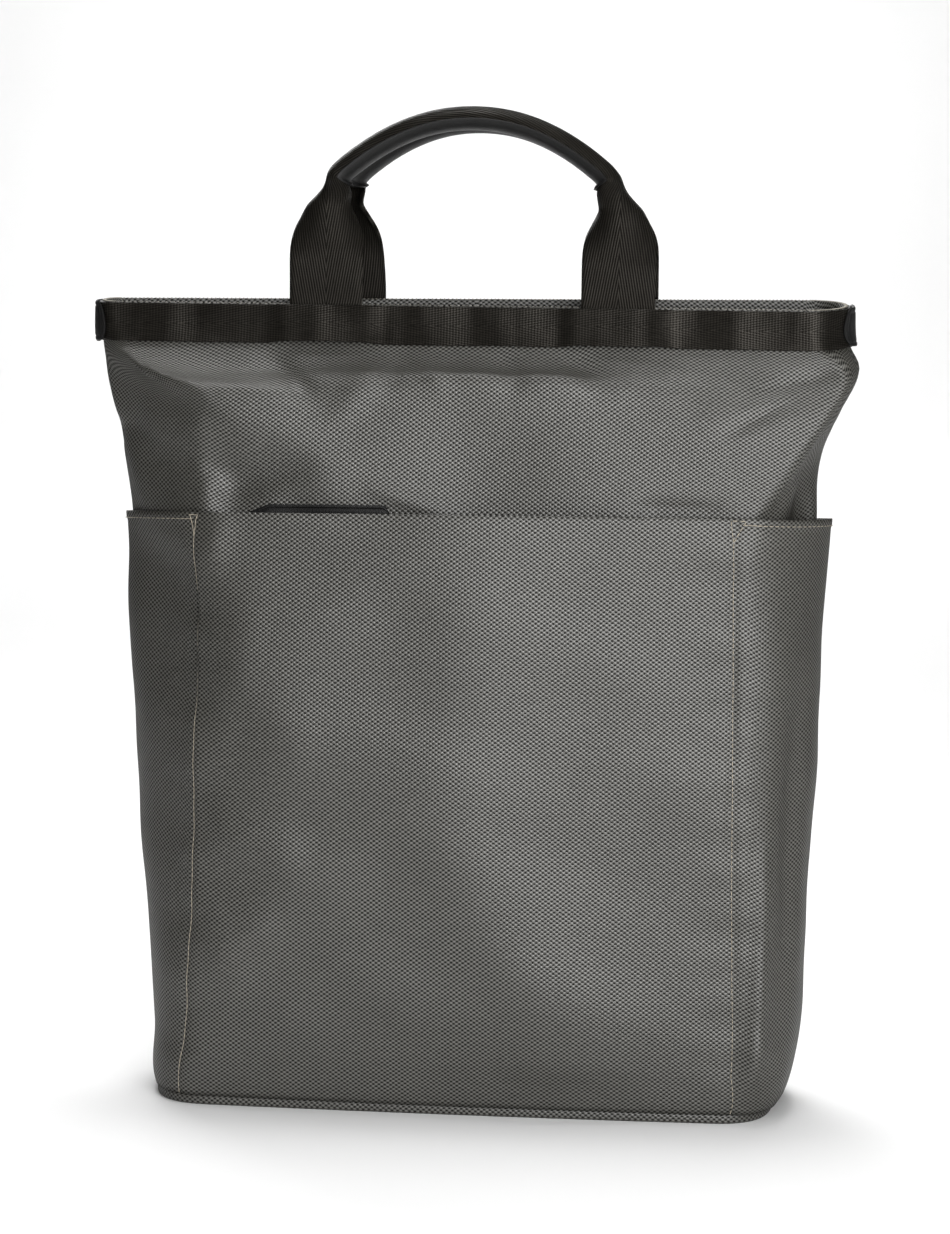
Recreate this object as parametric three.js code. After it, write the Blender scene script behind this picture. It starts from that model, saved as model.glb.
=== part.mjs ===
// A woven tote backpack that stands on its base, in millimetres, with +Z up and the front towards -Y.
// The origin is the middle of the base, on the floor.
//
// The bag wall is one base surface: a stack of sections, each with a front that is flat between two
// folds, rounded sides and a back like the front. Folds and dents move the surface along its normal.
// Body, pocket, bands, tabs, patch and straps are sheets at their own distances from that surface.
import * as THREE from "three";

const { lerp, smoothstep, degToRad } = THREE.MathUtils;

// Driving sizes
const RIM_HEIGHT = 400;
const RIM_TILT = 0.065; // the rim climbs by this share of the way to the back
const RIM_RISE = 0.009; // and by this share of the way to the right
const POCKET_HEIGHT = 299;
const POCKET_RISE = 0.0115; // the pocket's edge climbs by this share of the way to the right
const POCKET_DIP = 0.09; // and drops by this share of the way from the front to the back
const CLOTH = 1.6;
const POCKET_CLOTH = 1.4;
const WEBBING = 1.6;
const LEATHER = 1.2;
const GAP = 0.4; // between sewn layers
const BAND_WIDTH = 19;
const BAND_DROP = 1; // bare cloth edge above the band
const HANDLE_WIDTH = 36.5;
const HANDLE_RISE = 96; // top of the front handle above the rim
const BACK_HANDLE_DROP = 3; // the back handle stands this much lower
const SHOULDER_RISE = 40; // where the handle leaves its upright feet
const FOOT_DEPTH = 18; // sewn length behind the band
const BASE_CLOTH = 2;
const HEM_HEIGHT = 5;
const HEM_WIDTH = 4;
const STRAP_THICKNESS = 4;
const STRAP_TOP_WIDTH = 50;
const STRAP_FOOT_WIDTH = 28;
const STRAP_BOW = 26; // room for an arm between strap and back
const STRAP_GAP = 1; // at the strap's sewn ends
const FRONT_POCKET_ROOM = 7; // how far the mouth stands off the body
const SIDE_POCKET_ROOM = { left: 0.3, right: 2.5 };
const POCKET_FLARE = 1.5; // how late the pocket leaves the body on its way up

// Girth of the bag wall, and the shares of a quarter of it that lie on the front and round the side
const GIRTH = 776;
const FOLD_TURN = 0.34; // turn runs from 0 at the front's middle through 0.5 at a side to 1 at the back

// Sections of the bag wall from the base up: half widths to the sides and to the folds, half depths
// beside each fold, the crown of front and back, and how square each side is (1 straight, 2 round)
const SECTION_COLUMNS = [
  "z", "left", "right", "leftFold", "rightFold", "leftDepth", "rightDepth", "crown",
  "leftSquare", "rightSquare",
];
const SECTIONS = [
  [0, 153, 154, 122, 124, 45, 45, 2, 2.6, 2.8],
  [12, 156.3, 161.5, 124, 128, 47.5, 47.5, 3, 2.4, 2.9],
  [36, 156.3, 166.8, 127, 131, 48, 48, 4, 2, 2.8],
  [80, 159.8, 168.5, 129, 133, 48, 48, 5, 1.7, 2.6],
  [160, 166, 170.7, 130, 134, 48, 48, 5.5, 1.4, 2.1],
  [240, 169.8, 172.5, 130, 135, 47, 47, 5, 1.3, 1.8],
  [297, 172, 174.5, 131, 140, 44, 44, 4, 1.25, 1.6],
  [328, 177.5, 174.5, 132, 150, 40, 42, 3, 1.25, 1.5],
  [350, 181, 182.5, 140, 160, 34, 38, 2.5, 1.3, 1.5],
  [368, 184.5, 191, 160, 168, 22, 30, 1.5, 1.5, 1.6],
  [382, 186.5, 185.7, 174, 168, 11, 23, 0.5, 1.8, 1.8],
  [400, 186.5, 184.5, 178, 166, 8, 22, 0, 2, 2],
];

// Folds and dents: the middle's way round from the front and height, the turn of the long axis from
// level, half length, half width, and height, which is below 0 for a dent
const FOLD_COLUMNS = ["round", "z", "turn", "length", "width", "height"];
const FOLDS = [
  [-86, 363, 90, 16, 13, -3],
  [-30, 363, 60, 18, 14, -3.5],
  [44, 365, 90, 14, 14, -3],
  [95, 360, 75, 18, 15, -3],
  [158, 358, 34, 30, 11, -5],
  [150, 339, 27, 22, 10, 3],
  [49, 330, -15, 42, 16, -3.5],
  [-119, 314, 80, 20, 13, 3],
  [-108, 260, -41, 30, 13, 3.5],
  [-113, 224, 80, 26, 15, -4],
  [-105, 168, 30, 22, 12, -3],
  [-112, 130, 0, 20, 12, -3],
  [27, 175, 90, 95, 32, 3.5],
  [76, 207, 39, 55, 17, -4],
  [88, 117, 90, 42, 20, -3],
  [142, 43, 68, 26, 10, -4],
  [-165, 50, 80, 30, 10, -3.5],
];
// Tucks of the body's sides, which the pocket panel spans
const TUCKS = [
  [180, 288, 90, 44, 17, -12],
  [-224, 282, 90, 45, 16, -12],
];
const TILT_START = 320; // height at which the rim's tilt begins
const FOLDS_START = 8;
const FOLDS_FULL = 30;
const FOLDS_FADE = 362;
const FOLDS_END = 377;

const namedRows = (columns, rows) =>
  rows.map((row) => Object.fromEntries(columns.map((name, i) => [name, row[i]])));
const sections = namedRows(SECTION_COLUMNS, SECTIONS);
const folds = namedRows(FOLD_COLUMNS, FOLDS);
const tucks = namedRows(FOLD_COLUMNS, TUCKS);

// One column of the section table at height z, on a smooth curve through its rows
function sectionValue(name, z) {
  const last = sections.length - 1;
  let i = sections.findIndex((row) => row.z >= z);
  i = THREE.MathUtils.clamp(i < 0 ? last : i, 1, last);
  const slope = (k) => {
    const below = sections[Math.max(k - 1, 0)];
    const above = sections[Math.min(k + 1, last)];
    return (above[name] - below[name]) / (above.z - below.z);
  };
  const from = sections[i - 1];
  const to = sections[i];
  const span = to.z - from.z;
  const t = (z - from.z) / span;
  const rest = 1 - t;
  const ends = from[name] * (1 + 2 * t) * rest * rest + to[name] * (3 - 2 * t) * t * t;
  return ends + span * t * rest * (slope(i - 1) * rest - slope(i) * t);
}

// The base surface at a turn round the bag and a height
function basePoint(turn, z) {
  const wrapped = turn > 1 ? turn - 2 : turn;
  const side = wrapped < 0 ? "left" : "right";
  const sign = wrapped < 0 ? -1 : 1;
  const isFront = Math.abs(wrapped) <= 0.5;
  const quarter = isFront ? Math.abs(wrapped) : 1 - Math.abs(wrapped);
  const fold = sectionValue(side + "Fold", z);
  const reach = sectionValue(side, z);
  let across;
  let depth;
  if (quarter <= FOLD_TURN) {
    const share = quarter / FOLD_TURN;
    const wide = sectionValue("leftFold", z) + sectionValue("rightFold", z);
    across = fold * share;
    const along = (sign * across + sectionValue("leftFold", z)) / wide;
    depth = lerp(sectionValue("leftDepth", z), sectionValue("rightDepth", z), along);
    depth += sectionValue("crown", z) * (1 - share * share);
  } else {
    const angle = (((quarter - FOLD_TURN) / (0.5 - FOLD_TURN)) * Math.PI) / 2;
    const power = 2 / sectionValue(side + "Square", z);
    across = fold + (reach - fold) * Math.sin(angle) ** power;
    depth = sectionValue(side + "Depth", z) * Math.max(Math.cos(angle), 0) ** power;
  }
  const y = isFront ? -depth : depth;
  const tilt = RIM_TILT * y + RIM_RISE * sign * across;
  return new THREE.Vector3(sign * across, y, z + tilt * smoothstep(z, TILT_START, RIM_HEIGHT));
}

// The surface's directions at a point: round the bag, up, and outward
function surfaceFrame(turn, z) {
  const TURN_STEP = 0.004;
  const RISE_STEP = 0.5;
  const low = Math.max(z - RISE_STEP, 0);
  const high = Math.min(z + RISE_STEP, RIM_HEIGHT);
  const round = basePoint(turn + TURN_STEP, z).sub(basePoint(turn - TURN_STEP, z)).normalize();
  const up = basePoint(turn, high).sub(basePoint(turn, low)).normalize();
  const out = round.clone().cross(up).normalize();
  return { round, up, out };
}

// Sum of long round bumps, one for each row, at a place on the unrolled surface
function foldHeight(rows, turn, z) {
  const wrapped = turn > 1 ? turn - 2 : turn;
  const place = (wrapped * GIRTH) / 2;
  const fade = smoothstep(z, FOLDS_START, FOLDS_FULL) * (1 - smoothstep(z, FOLDS_FADE, FOLDS_END));
  let height = 0;
  for (const row of rows) {
    const angle = degToRad(row.turn);
    const aside = place - row.round;
    const above = z - row.z;
    const along = (aside * Math.cos(angle) + above * Math.sin(angle)) / row.length;
    const across = (above * Math.cos(angle) - aside * Math.sin(angle)) / row.width;
    height += row.height * Math.exp(-(along ** 4) - across ** 2);
  }
  return height * fade;
}

// A point at a distance outside the folded surface, and one outside the tucked body
const foldedPoint = (turn, z, out) =>
  basePoint(turn, z).addScaledVector(surfaceFrame(turn, z).out, foldHeight(folds, turn, z) + out);
const bodyPoint = (turn, z, out) => foldedPoint(turn, z, foldHeight(tucks, turn, z) + out);

// The turn at which the front or back has a given x
function turnAcross(x, z, isFront) {
  const fold = sectionValue(x < 0 ? "leftFold" : "rightFold", z);
  const share = (x / fold) * FOLD_TURN;
  return isFront ? share : 1 - share;
}

// Height of the pocket's edge, which lies in a plane that is level only along its own slope
function pocketTop(turn) {
  const place = basePoint(turn, POCKET_HEIGHT);
  const behind = place.y - basePoint(0, POCKET_HEIGHT).y;
  return POCKET_HEIGHT + POCKET_RISE * place.x - POCKET_DIP * behind;
}

// A geometry from rings or rows of points and a list of triangles
function geometryFrom(points, triangles) {
  const geometry = new THREE.BufferGeometry();
  geometry.setFromPoints(points);
  geometry.setIndex(triangles);
  return geometry;
}

// A closed sheet between two grids of points, outer[i][j] and inner[i][j], where the way along i
// crossed with the way along j points outward
function sheetBetween(outer, inner) {
  const columns = outer.length;
  const rows = outer[0].length;
  const triangles = [];
  const outerAt = (i, j) => i * rows + j;
  const innerAt = (i, j) => columns * rows + i * rows + j;
  const quad = (a, b, c, d) => triangles.push(a, b, c, a, c, d);
  for (let i = 0; i < columns - 1; i += 1) {
    for (let j = 0; j < rows - 1; j += 1) {
      quad(outerAt(i, j), outerAt(i + 1, j), outerAt(i + 1, j + 1), outerAt(i, j + 1));
      quad(innerAt(i, j), innerAt(i, j + 1), innerAt(i + 1, j + 1), innerAt(i + 1, j));
    }
    const top = rows - 1;
    quad(outerAt(i, 0), innerAt(i, 0), innerAt(i + 1, 0), outerAt(i + 1, 0));
    quad(outerAt(i, top), outerAt(i + 1, top), innerAt(i + 1, top), innerAt(i, top));
  }
  for (let j = 0; j < rows - 1; j += 1) {
    const end = columns - 1;
    quad(outerAt(0, j), outerAt(0, j + 1), innerAt(0, j + 1), innerAt(0, j));
    quad(outerAt(end, j), innerAt(end, j), innerAt(end, j + 1), outerAt(end, j + 1));
  }
  return geometryFrom([...outer.flat(), ...inner.flat()], triangles);
}

// A closed solid from a stack of equal rings between two poles
function solidFromRings(startPole, rings, endPole) {
  const count = rings[0].length;
  const points = [startPole, ...rings.flat(), endPole];
  const at = (ring, i) => 1 + ring * count + (i % count);
  const triangles = [];
  for (let i = 0; i < count; i += 1) {
    triangles.push(0, at(0, i + 1), at(0, i));
    triangles.push(points.length - 1, at(rings.length - 1, i), at(rings.length - 1, i + 1));
    for (let ring = 0; ring < rings.length - 1; ring += 1) {
      const low = [at(ring, i), at(ring, i + 1)];
      const high = [at(ring + 1, i), at(ring + 1, i + 1)];
      triangles.push(low[0], low[1], high[1], low[0], high[1], high[0]);
    }
  }
  return geometryFrom(points, triangles);
}

const steps = (from, to, count) =>
  Array.from({ length: count + 1 }, (_, i) => lerp(from, to, i / count));

// A sheet over a list of turns and a function of heights, between two functions of turn and height.
// Its ends stop short of the side seams, which lie in the plane y = 0, by half a gap.
function wrappedSheet(turns, heightsAt, innerAt, outerAt) {
  const isSeam = (turn) => [-0.5, 0.5, 1.5].includes(turn);
  const placed = (point, turn, i) => {
    if ((i === 0 || i === turns.length - 1) && isSeam(turn)) {
      point.y = ((turns[1] > 0.5 ? 1 : -1) * GAP) / 2;
    }
    return point;
  };
  const grid = (pointAt) =>
    turns.map((turn, i) => heightsAt(turn).map((z) => placed(pointAt(turn, z), turn, i)));
  return sheetBetween(grid(outerAt), grid(innerAt));
}

// Turns and heights that stacked layers share, so that their facets stay parallel
const FRONT_STEPS = 16;
const BACK_STEPS = 10;
const SIDE_STEPS = 5;
const LOW_STEPS = 9;
const HIGH_STEPS = 11;
const frontTurns = steps(-FOLD_TURN, FOLD_TURN, FRONT_STEPS);
const rightSideTurns = steps(FOLD_TURN, 0.5, SIDE_STEPS);
const leftSideTurns = steps(-0.5, -FOLD_TURN, SIDE_STEPS);
const bodyTurns = [...leftSideTurns.slice(0, -1), ...frontTurns, ...rightSideTurns.slice(1)];
const rightBackTurns = steps(0.5, 1 - FOLD_TURN, SIDE_STEPS);
const leftBackTurns = steps(1 + FOLD_TURN, 1.5, SIDE_STEPS);
const flatBackTurns = steps(1 - FOLD_TURN, 1 + FOLD_TURN, BACK_STEPS);
const backTurns = [
  ...rightBackTurns.slice(0, -1),
  ...flatBackTurns,
  ...leftBackTurns.slice(1),
];
const WALL_FOOT = HEM_HEIGHT + GAP;
const lowHeights = (turn) => steps(WALL_FOOT, pocketTop(turn), LOW_STEPS);
const bodyHeights = (turn) => [
  ...lowHeights(turn),
  ...steps(pocketTop(turn), RIM_HEIGHT, HIGH_STEPS).slice(1),
];

// Body panels: front and back between the folds, and the two sides round from fold to fold.
// The flat panels' ends are drawn in, so that neighbours keep a gap.
const PANEL_INSET = 0.001;
const drawnIn = (turns) => [turns[0] + PANEL_INSET, ...turns.slice(1, -1), turns.at(-1) - PANEL_INSET];
const leftTurns = [...leftBackTurns.map((turn) => turn - 2), ...leftSideTurns.slice(1)];
const rightTurns = [...rightSideTurns, ...rightBackTurns.slice(1)];
const bodyWall = (turns, heightsAt = bodyHeights) =>
  wrappedSheet(
    turns,
    heightsAt,
    (turn, z) => bodyPoint(turn, z, -CLOTH),
    (turn, z) => bodyPoint(turn, z, 0),
  );

// The right side is one panel below its tuck and one from there up
const SIDE_SPLIT_ROW = 7;
const lowSideHeights = (turn) => bodyHeights(turn).slice(0, SIDE_SPLIT_ROW + 1);
const highSideHeights = (turn) => {
  const [lowest, ...others] = bodyHeights(turn).slice(SIDE_SPLIT_ROW);
  return [lowest + GAP, ...others];
};

// Pocket panel: it lies on the body at the two seams and at the foot, and stands off at its mouths
const POCKET_SEAM_TURN = 0.345;
const POCKET_END_TURN = 1 - FOLD_TURN;
function pocketRoom(turn, z) {
  const aside = Math.abs(turn);
  const rise = (z - WALL_FOOT) / (pocketTop(turn) - WALL_FOOT);
  const isFront = aside < POCKET_SEAM_TURN;
  const inward = isFront
    ? Math.cos((aside / POCKET_SEAM_TURN) * (Math.PI / 2))
    : Math.sin(((aside - POCKET_SEAM_TURN) / (POCKET_END_TURN - POCKET_SEAM_TURN)) * Math.PI);
  const room = isFront ? FRONT_POCKET_ROOM : SIDE_POCKET_ROOM[turn < 0 ? "left" : "right"];
  return GAP + room * Math.max(inward, 0) * rise ** POCKET_FLARE;
}
function pocketPanel() {
  const leftEnd = leftBackTurns.slice(0, -1).map((turn) => turn - 2);
  const turns = [...leftEnd, ...bodyTurns, ...rightBackTurns.slice(1)];
  return wrappedSheet(
    turns,
    lowHeights,
    (turn, z) => foldedPoint(turn, z, pocketRoom(turn, z)),
    (turn, z) => foldedPoint(turn, z, pocketRoom(turn, z) + POCKET_CLOTH),
  );
}

// Base: a flat panel whose edge turns up into a rolled hem
function basePanel() {
  const turns = [...bodyTurns.slice(0, -1), ...backTurns.slice(0, -1)];
  const HEM_PROUD = 2.4;
  const HEM_ROUND = 1.2;
  const ring = (z, out) =>
    turns.map((turn) => {
      const point = basePoint(turn, 0).addScaledVector(surfaceFrame(turn, 0).out.setZ(0), out);
      return point.setZ(z);
    });
  const inner = HEM_PROUD - HEM_WIDTH;
  const PANEL_INSET = -18;
  const rings = [
    ring(0, PANEL_INSET),
    ring(0, HEM_PROUD - HEM_ROUND),
    ring(HEM_ROUND, HEM_PROUD),
    ring(HEM_HEIGHT - HEM_ROUND, HEM_PROUD),
    ring(HEM_HEIGHT, HEM_PROUD - HEM_ROUND),
    ring(HEM_HEIGHT, inner),
    ring(BASE_CLOTH, inner),
    ring(BASE_CLOTH, PANEL_INSET),
  ];
  return solidFromRings(new THREE.Vector3(0, 0, 0), rings, new THREE.Vector3(0, 0, BASE_CLOTH));
}

// Handle feet: where each stands on the rim
const HANDLE_FEET = {
  front: { left: -72, right: 73, drop: 0 },
  back: { left: -64, right: 72, drop: BACK_HANDLE_DROP },
};
const BAND_LOW = RIM_HEIGHT - BAND_DROP - BAND_WIDTH;
const BAND_HIGH = RIM_HEIGHT - BAND_DROP;
const FOOT_SLOPE = 5; // length over which the band climbs onto a foot
const FOOT_GAP = 0.8; // between a foot and the body
const FOOT_ROOM = FOOT_GAP + WEBBING;

// Bands: webbing round the rim that climbs over the handle feet
function band(face) {
  const isFront = face === "front";
  const feet = HANDLE_FEET[face];
  const half = HANDLE_WIDTH / 2 + GAP;
  const stops = [feet.left, feet.right].flatMap((x) => [
    x - half - FOOT_SLOPE, x - half, x + half, x + half + FOOT_SLOPE,
  ]);
  const middleTurns = stops.map((x) => turnAcross(x, RIM_HEIGHT, isFront));
  const lift = (turn, z) => {
    const x = basePoint(turn, z).x;
    const nearest = Math.min(Math.abs(x - feet.left), Math.abs(x - feet.right));
    return GAP + FOOT_ROOM * (1 - smoothstep(nearest, half, half + FOOT_SLOPE));
  };
  const turns = isFront
    ? [...leftSideTurns, ...middleTurns, ...rightSideTurns]
    : [...rightBackTurns, ...middleTurns.reverse(), ...leftBackTurns];
  return wrappedSheet(
    turns,
    () => [BAND_LOW, BAND_HIGH],
    (turn, z) => basePoint(turn, z).addScaledVector(surfaceFrame(turn, z).out, lift(turn, z)),
    (turn, z) => basePoint(turn, z).addScaledVector(surfaceFrame(turn, z).out, lift(turn, z) + WEBBING),
  );
}

// End tabs: D-shaped leather folded round each end of the band
const TAB_TURN = { left: 0.1, right: 0.05 };
function endTab(side) {
  const middle = side === "left" ? -0.5 : 0.5;
  const TAB_OVER = 1;
  const TAB_GAP = 0.6;
  const TAB_ENDS = 0.45; // share of the tab's reach that is left at its top and bottom
  const low = BAND_LOW - TAB_OVER;
  const high = BAND_HIGH + TAB_OVER / 2;
  const heights = steps(low, high, 6);
  const shares = steps(-1, 1, 8);
  const reach = (z) => {
    const off = (2 * (z - low)) / (high - low) - 1;
    return TAB_TURN[side] * lerp(TAB_ENDS, 1, Math.sqrt(Math.max(1 - off * off, 0)));
  };
  const grid = (out) =>
    shares.map((share) =>
      heights.map((z) => {
        const turn = middle + share * reach(z);
        return basePoint(turn < -1 ? turn + 2 : turn, z).addScaledVector(surfaceFrame(turn, z).out, out);
      }),
    );
  const inside = GAP + WEBBING + TAB_GAP;
  return sheetBetween(grid(inside + LEATHER), grid(inside));
}

// Leather patch on the body behind the pocket's edge, on the body's own turns and heights
function leatherPatch() {
  const PATCH_LEFT = -100;
  const PATCH_RIGHT = -30;
  const PATCH_SHOWS = 4;
  const CORNER_DROP = 3;
  const turns = frontTurns.filter((turn) => {
    const x = basePoint(turn, POCKET_HEIGHT).x;
    return x > PATCH_LEFT && x < PATCH_RIGHT;
  });
  const heights = (turn) => {
    const isEnd = turn === turns[0] || turn === turns.at(-1);
    const top = pocketTop(turn) + PATCH_SHOWS - (isEnd ? CORNER_DROP : 0);
    return [lowHeights(turn).at(-2), pocketTop(turn), top];
  };
  return wrappedSheet(
    turns,
    heights,
    (turn, z) => bodyPoint(turn, z, GAP),
    (turn, z) => bodyPoint(turn, z, GAP + LEATHER),
  );
}

// Handle: a webbing strip along a path, whose section curls from flat at the feet to a tube
const GRIP_CURL = degToRad(340);
const GRIP_FLATNESS = 0.62; // height of the rolled grip as a share of its width
const GRIP_Y = 10.6; // middle of each rolled grip, front or back of the bag's middle
const CURL_START = 21;
const CURL_END = 64;
const TWIST_START = 34;
const TWIST_END = 68;
const LEG_START = 8; // first station of a leg above the rim
const LEG_STEPS = 3;
const ARCH_STEPS = 24;

// Path stations with the ways along the strip, outward from it, and across it, and its curl
function handleStations(face) {
  const sign = face === "front" ? -1 : 1;
  const feet = HANDLE_FEET[face];
  const rise = HANDLE_RISE - feet.drop;
  const middle = (feet.left + feet.right) / 2;
  const span = (feet.right - feet.left) / 2;
  const footAt = (x, z) => {
    const turn = turnAcross(x, z, face === "front");
    return basePoint(turn, z).addScaledVector(surfaceFrame(turn, z).out, FOOT_GAP + WEBBING / 2);
  };
  const leg = (x) => {
    const low = footAt(x, RIM_HEIGHT - FOOT_DEPTH);
    const high = footAt(x, RIM_HEIGHT);
    const above = steps(LEG_START, SHOULDER_RISE, LEG_STEPS).slice(0, -1);
    return [low, high, ...above.map((up) => new THREE.Vector3(x, high.y, RIM_HEIGHT + up))];
  };
  const arch = steps(0, Math.PI, ARCH_STEPS).map((angle) => {
    const z = RIM_HEIGHT + SHOULDER_RISE + (rise - SHOULDER_RISE) * Math.sin(angle);
    return new THREE.Vector3(middle - span * Math.cos(angle), 0, z);
  });
  const rightLeg = leg(feet.right).reverse();
  const points = [...leg(feet.left), ...arch, ...rightLeg];
  const leftY = points[1].y;
  const rightY = rightLeg.at(-2).y;
  for (const point of points) {
    const up = point.z - RIM_HEIGHT;
    if (up > 0) {
      const footY = point.x < middle ? leftY : rightY;
      point.y = lerp(footY, sign * GRIP_Y, smoothstep(up, 0, rise));
    }
  }
  return points.map((point, i) => {
    const before = points[Math.max(i - 1, 0)];
    const after = points[Math.min(i + 1, points.length - 1)];
    const along = after.clone().sub(before).normalize();
    const up = point.z - RIM_HEIGHT;
    const footTurn = turnAcross(point.x < middle ? feet.left : feet.right, RIM_HEIGHT, face === "front");
    const facing = surfaceFrame(footTurn, RIM_HEIGHT - FOOT_DEPTH / 2).out;
    facing.lerp(new THREE.Vector3(0, sign, 0), smoothstep(up, 0, SHOULDER_RISE));
    facing.addScaledVector(along, -along.dot(facing)).normalize();
    const outward = along.clone().cross(facing).multiplyScalar(sign);
    const twist = (smoothstep(up, TWIST_START, TWIST_END) * Math.PI) / 2;
    const out = facing.multiplyScalar(Math.cos(twist)).addScaledVector(outward, Math.sin(twist));
    const across = along.clone().cross(out);
    return { point, along, out, across, curl: GRIP_CURL * smoothstep(up, CURL_START, CURL_END) };
  });
}

// A point of the curled section: a share across the strip from -1 to 1, and a distance off its middle
function curledPoint(station, share, off) {
  const LEAST_CURL = 0.02;
  const curl = Math.max(station.curl, LEAST_CURL);
  const radius = HANDLE_WIDTH / curl;
  const angle = (share * curl) / 2;
  const flatness = lerp(1, GRIP_FLATNESS, station.curl / GRIP_CURL);
  const deep = (radius + off) * Math.cos(angle) - radius;
  const wide = (radius + off) * Math.sin(angle);
  return station.point
    .clone()
    .addScaledVector(station.out, deep * flatness)
    .addScaledVector(station.across, wide);
}

function handle(face) {
  const stations = handleStations(face);
  const shares = steps(-1, 1, 8);
  const grid = (off) =>
    shares.map((share) => stations.map((station) => curledPoint(station, share, off)));
  return sheetBetween(grid(WEBBING / 2), grid(-WEBBING / 2));
}

// Grip: a leather strip round the underside of the rolled part
function grip(face) {
  const GRIP_FROM_RISE = 57;
  const GRIP_GAP = 0.9;
  const GRIP_HALF_WRAP = degToRad(70);
  const stations = handleStations(face).filter(
    (station) => station.point.z - RIM_HEIGHT > GRIP_FROM_RISE,
  );
  const angles = steps(Math.PI - GRIP_HALF_WRAP, Math.PI + GRIP_HALF_WRAP, 8);
  const grid = (off) =>
    angles.map((angle) =>
      stations.map((station) => curledPoint(station, (2 * angle) / station.curl, off)),
    );
  const inside = WEBBING / 2 + GRIP_GAP;
  return sheetBetween(grid(inside + LEATHER), grid(inside));
}

// Shoulder strap: sewn flat to the back at both ends and bowed out between them
const STRAP_TOP = { x: 48, z: BAND_LOW - 3 };
const STRAP_FOOT = { x: 108, z: 14 };
function shoulderStrap(sign) {
  const SEWN_SHARE = 0.06; // of its length, at each end
  const WIDE_FROM = 0.15; // shares of its length between which it widens
  const WIDE_BY = 0.6;
  const FINE_FROM = 0.8; // the curved top takes finer steps
  const alongs = [...steps(0, FINE_FROM, 12), ...steps(FINE_FROM, 1, 6).slice(1)];
  const acrosses = steps(-0.5, 0.5, 4);
  const grid = (off) =>
    acrosses.map((across) =>
      alongs.map((along) => {
        const z = lerp(STRAP_FOOT.z, STRAP_TOP.z, along);
        const width = lerp(STRAP_FOOT_WIDTH, STRAP_TOP_WIDTH, smoothstep(along, WIDE_FROM, WIDE_BY));
        const middle = sign * lerp(STRAP_FOOT.x, STRAP_TOP.x, smoothstep(along, 0, 1));
        const free = smoothstep(along, SEWN_SHARE, 0.5) * (1 - smoothstep(along, 0.5, 1 - SEWN_SHARE));
        const turn = turnAcross(middle - across * width, z, false);
        return foldedPoint(turn, z, STRAP_GAP + free * STRAP_BOW + off);
      }),
    );
  return sheetBetween(grid(STRAP_THICKNESS), grid(0));
}

// Finishes
const clothFinish = new THREE.MeshStandardMaterial({ color: 0x69675f, roughness: 0.7, metalness: 0 });
const webbingFinish = new THREE.MeshStandardMaterial({ color: 0x322e2a, roughness: 0.5, metalness: 0 });
const leatherFinish = new THREE.MeshStandardMaterial({ color: 0x232221, roughness: 0.45, metalness: 0 });

const backpack = new THREE.Group();
function addPiece(name, geometry, finish) {
  const mesh = new THREE.Mesh(geometry, finish);
  mesh.name = name;
  backpack.add(mesh);
}

addPiece("base_panel", basePanel(), clothFinish);
addPiece("body_front", bodyWall(drawnIn(frontTurns)), clothFinish);
addPiece("body_back", bodyWall(drawnIn(flatBackTurns)), clothFinish);
addPiece("body_left", bodyWall(leftTurns), clothFinish);
addPiece("body_right_low", bodyWall(rightTurns, lowSideHeights), clothFinish);
addPiece("body_right_high", bodyWall(rightTurns, highSideHeights), clothFinish);
addPiece("pocket_panel", pocketPanel(), clothFinish);
addPiece("leather_patch", leatherPatch(), leatherFinish);
for (const face of ["front", "back"]) {
  addPiece(`band_${face}`, band(face), webbingFinish);
  addPiece(`handle_${face}`, handle(face), webbingFinish);
  addPiece(`grip_${face}`, grip(face), leatherFinish);
}
addPiece("end_tab_left", endTab("left"), leatherFinish);
addPiece("end_tab_right", endTab("right"), leatherFinish);
addPiece("strap_left", shoulderStrap(-1), webbingFinish);
addPiece("strap_right", shoulderStrap(1), webbingFinish);

export default backpack;
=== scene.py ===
"""A woven tote backpack that stands on its base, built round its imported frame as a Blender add-on.

The bag wall is one base surface: a stack of sections, each with a front that is flat between two folds,
rounded sides and a back like the front. Folds and dents move it along its normal, and body, pocket, bands,
tabs, patch and straps lie at their own distances from it. Shapes are worked out in millimetres and put into
meshes in metres.
"""

import math

import bpy
import numpy as np
from mathutils import Matrix, Vector


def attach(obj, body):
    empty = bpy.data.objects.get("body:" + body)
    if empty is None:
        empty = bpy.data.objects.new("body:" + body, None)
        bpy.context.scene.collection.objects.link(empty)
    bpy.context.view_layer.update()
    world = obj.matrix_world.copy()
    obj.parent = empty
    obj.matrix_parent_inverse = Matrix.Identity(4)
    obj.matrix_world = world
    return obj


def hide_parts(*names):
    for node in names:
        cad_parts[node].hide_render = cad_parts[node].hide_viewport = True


bl_info = {
    "name": "Tote Backpack",
    "version": (1, 0, 0),
    "blender": (4, 5, 0),
    "location": "View3D > Sidebar > Backpack",
    "description": "Builds a woven tote backpack with webbing handles and leather trim round its frame",
    "category": "Add Mesh",
}

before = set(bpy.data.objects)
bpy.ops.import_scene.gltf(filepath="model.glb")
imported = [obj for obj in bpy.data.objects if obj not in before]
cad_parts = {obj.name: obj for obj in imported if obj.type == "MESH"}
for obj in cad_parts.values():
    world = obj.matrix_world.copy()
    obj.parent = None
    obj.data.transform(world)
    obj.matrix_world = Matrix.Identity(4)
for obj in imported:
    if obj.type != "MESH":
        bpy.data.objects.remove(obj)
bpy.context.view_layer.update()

MM = 0.001
SEED = 7

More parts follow.
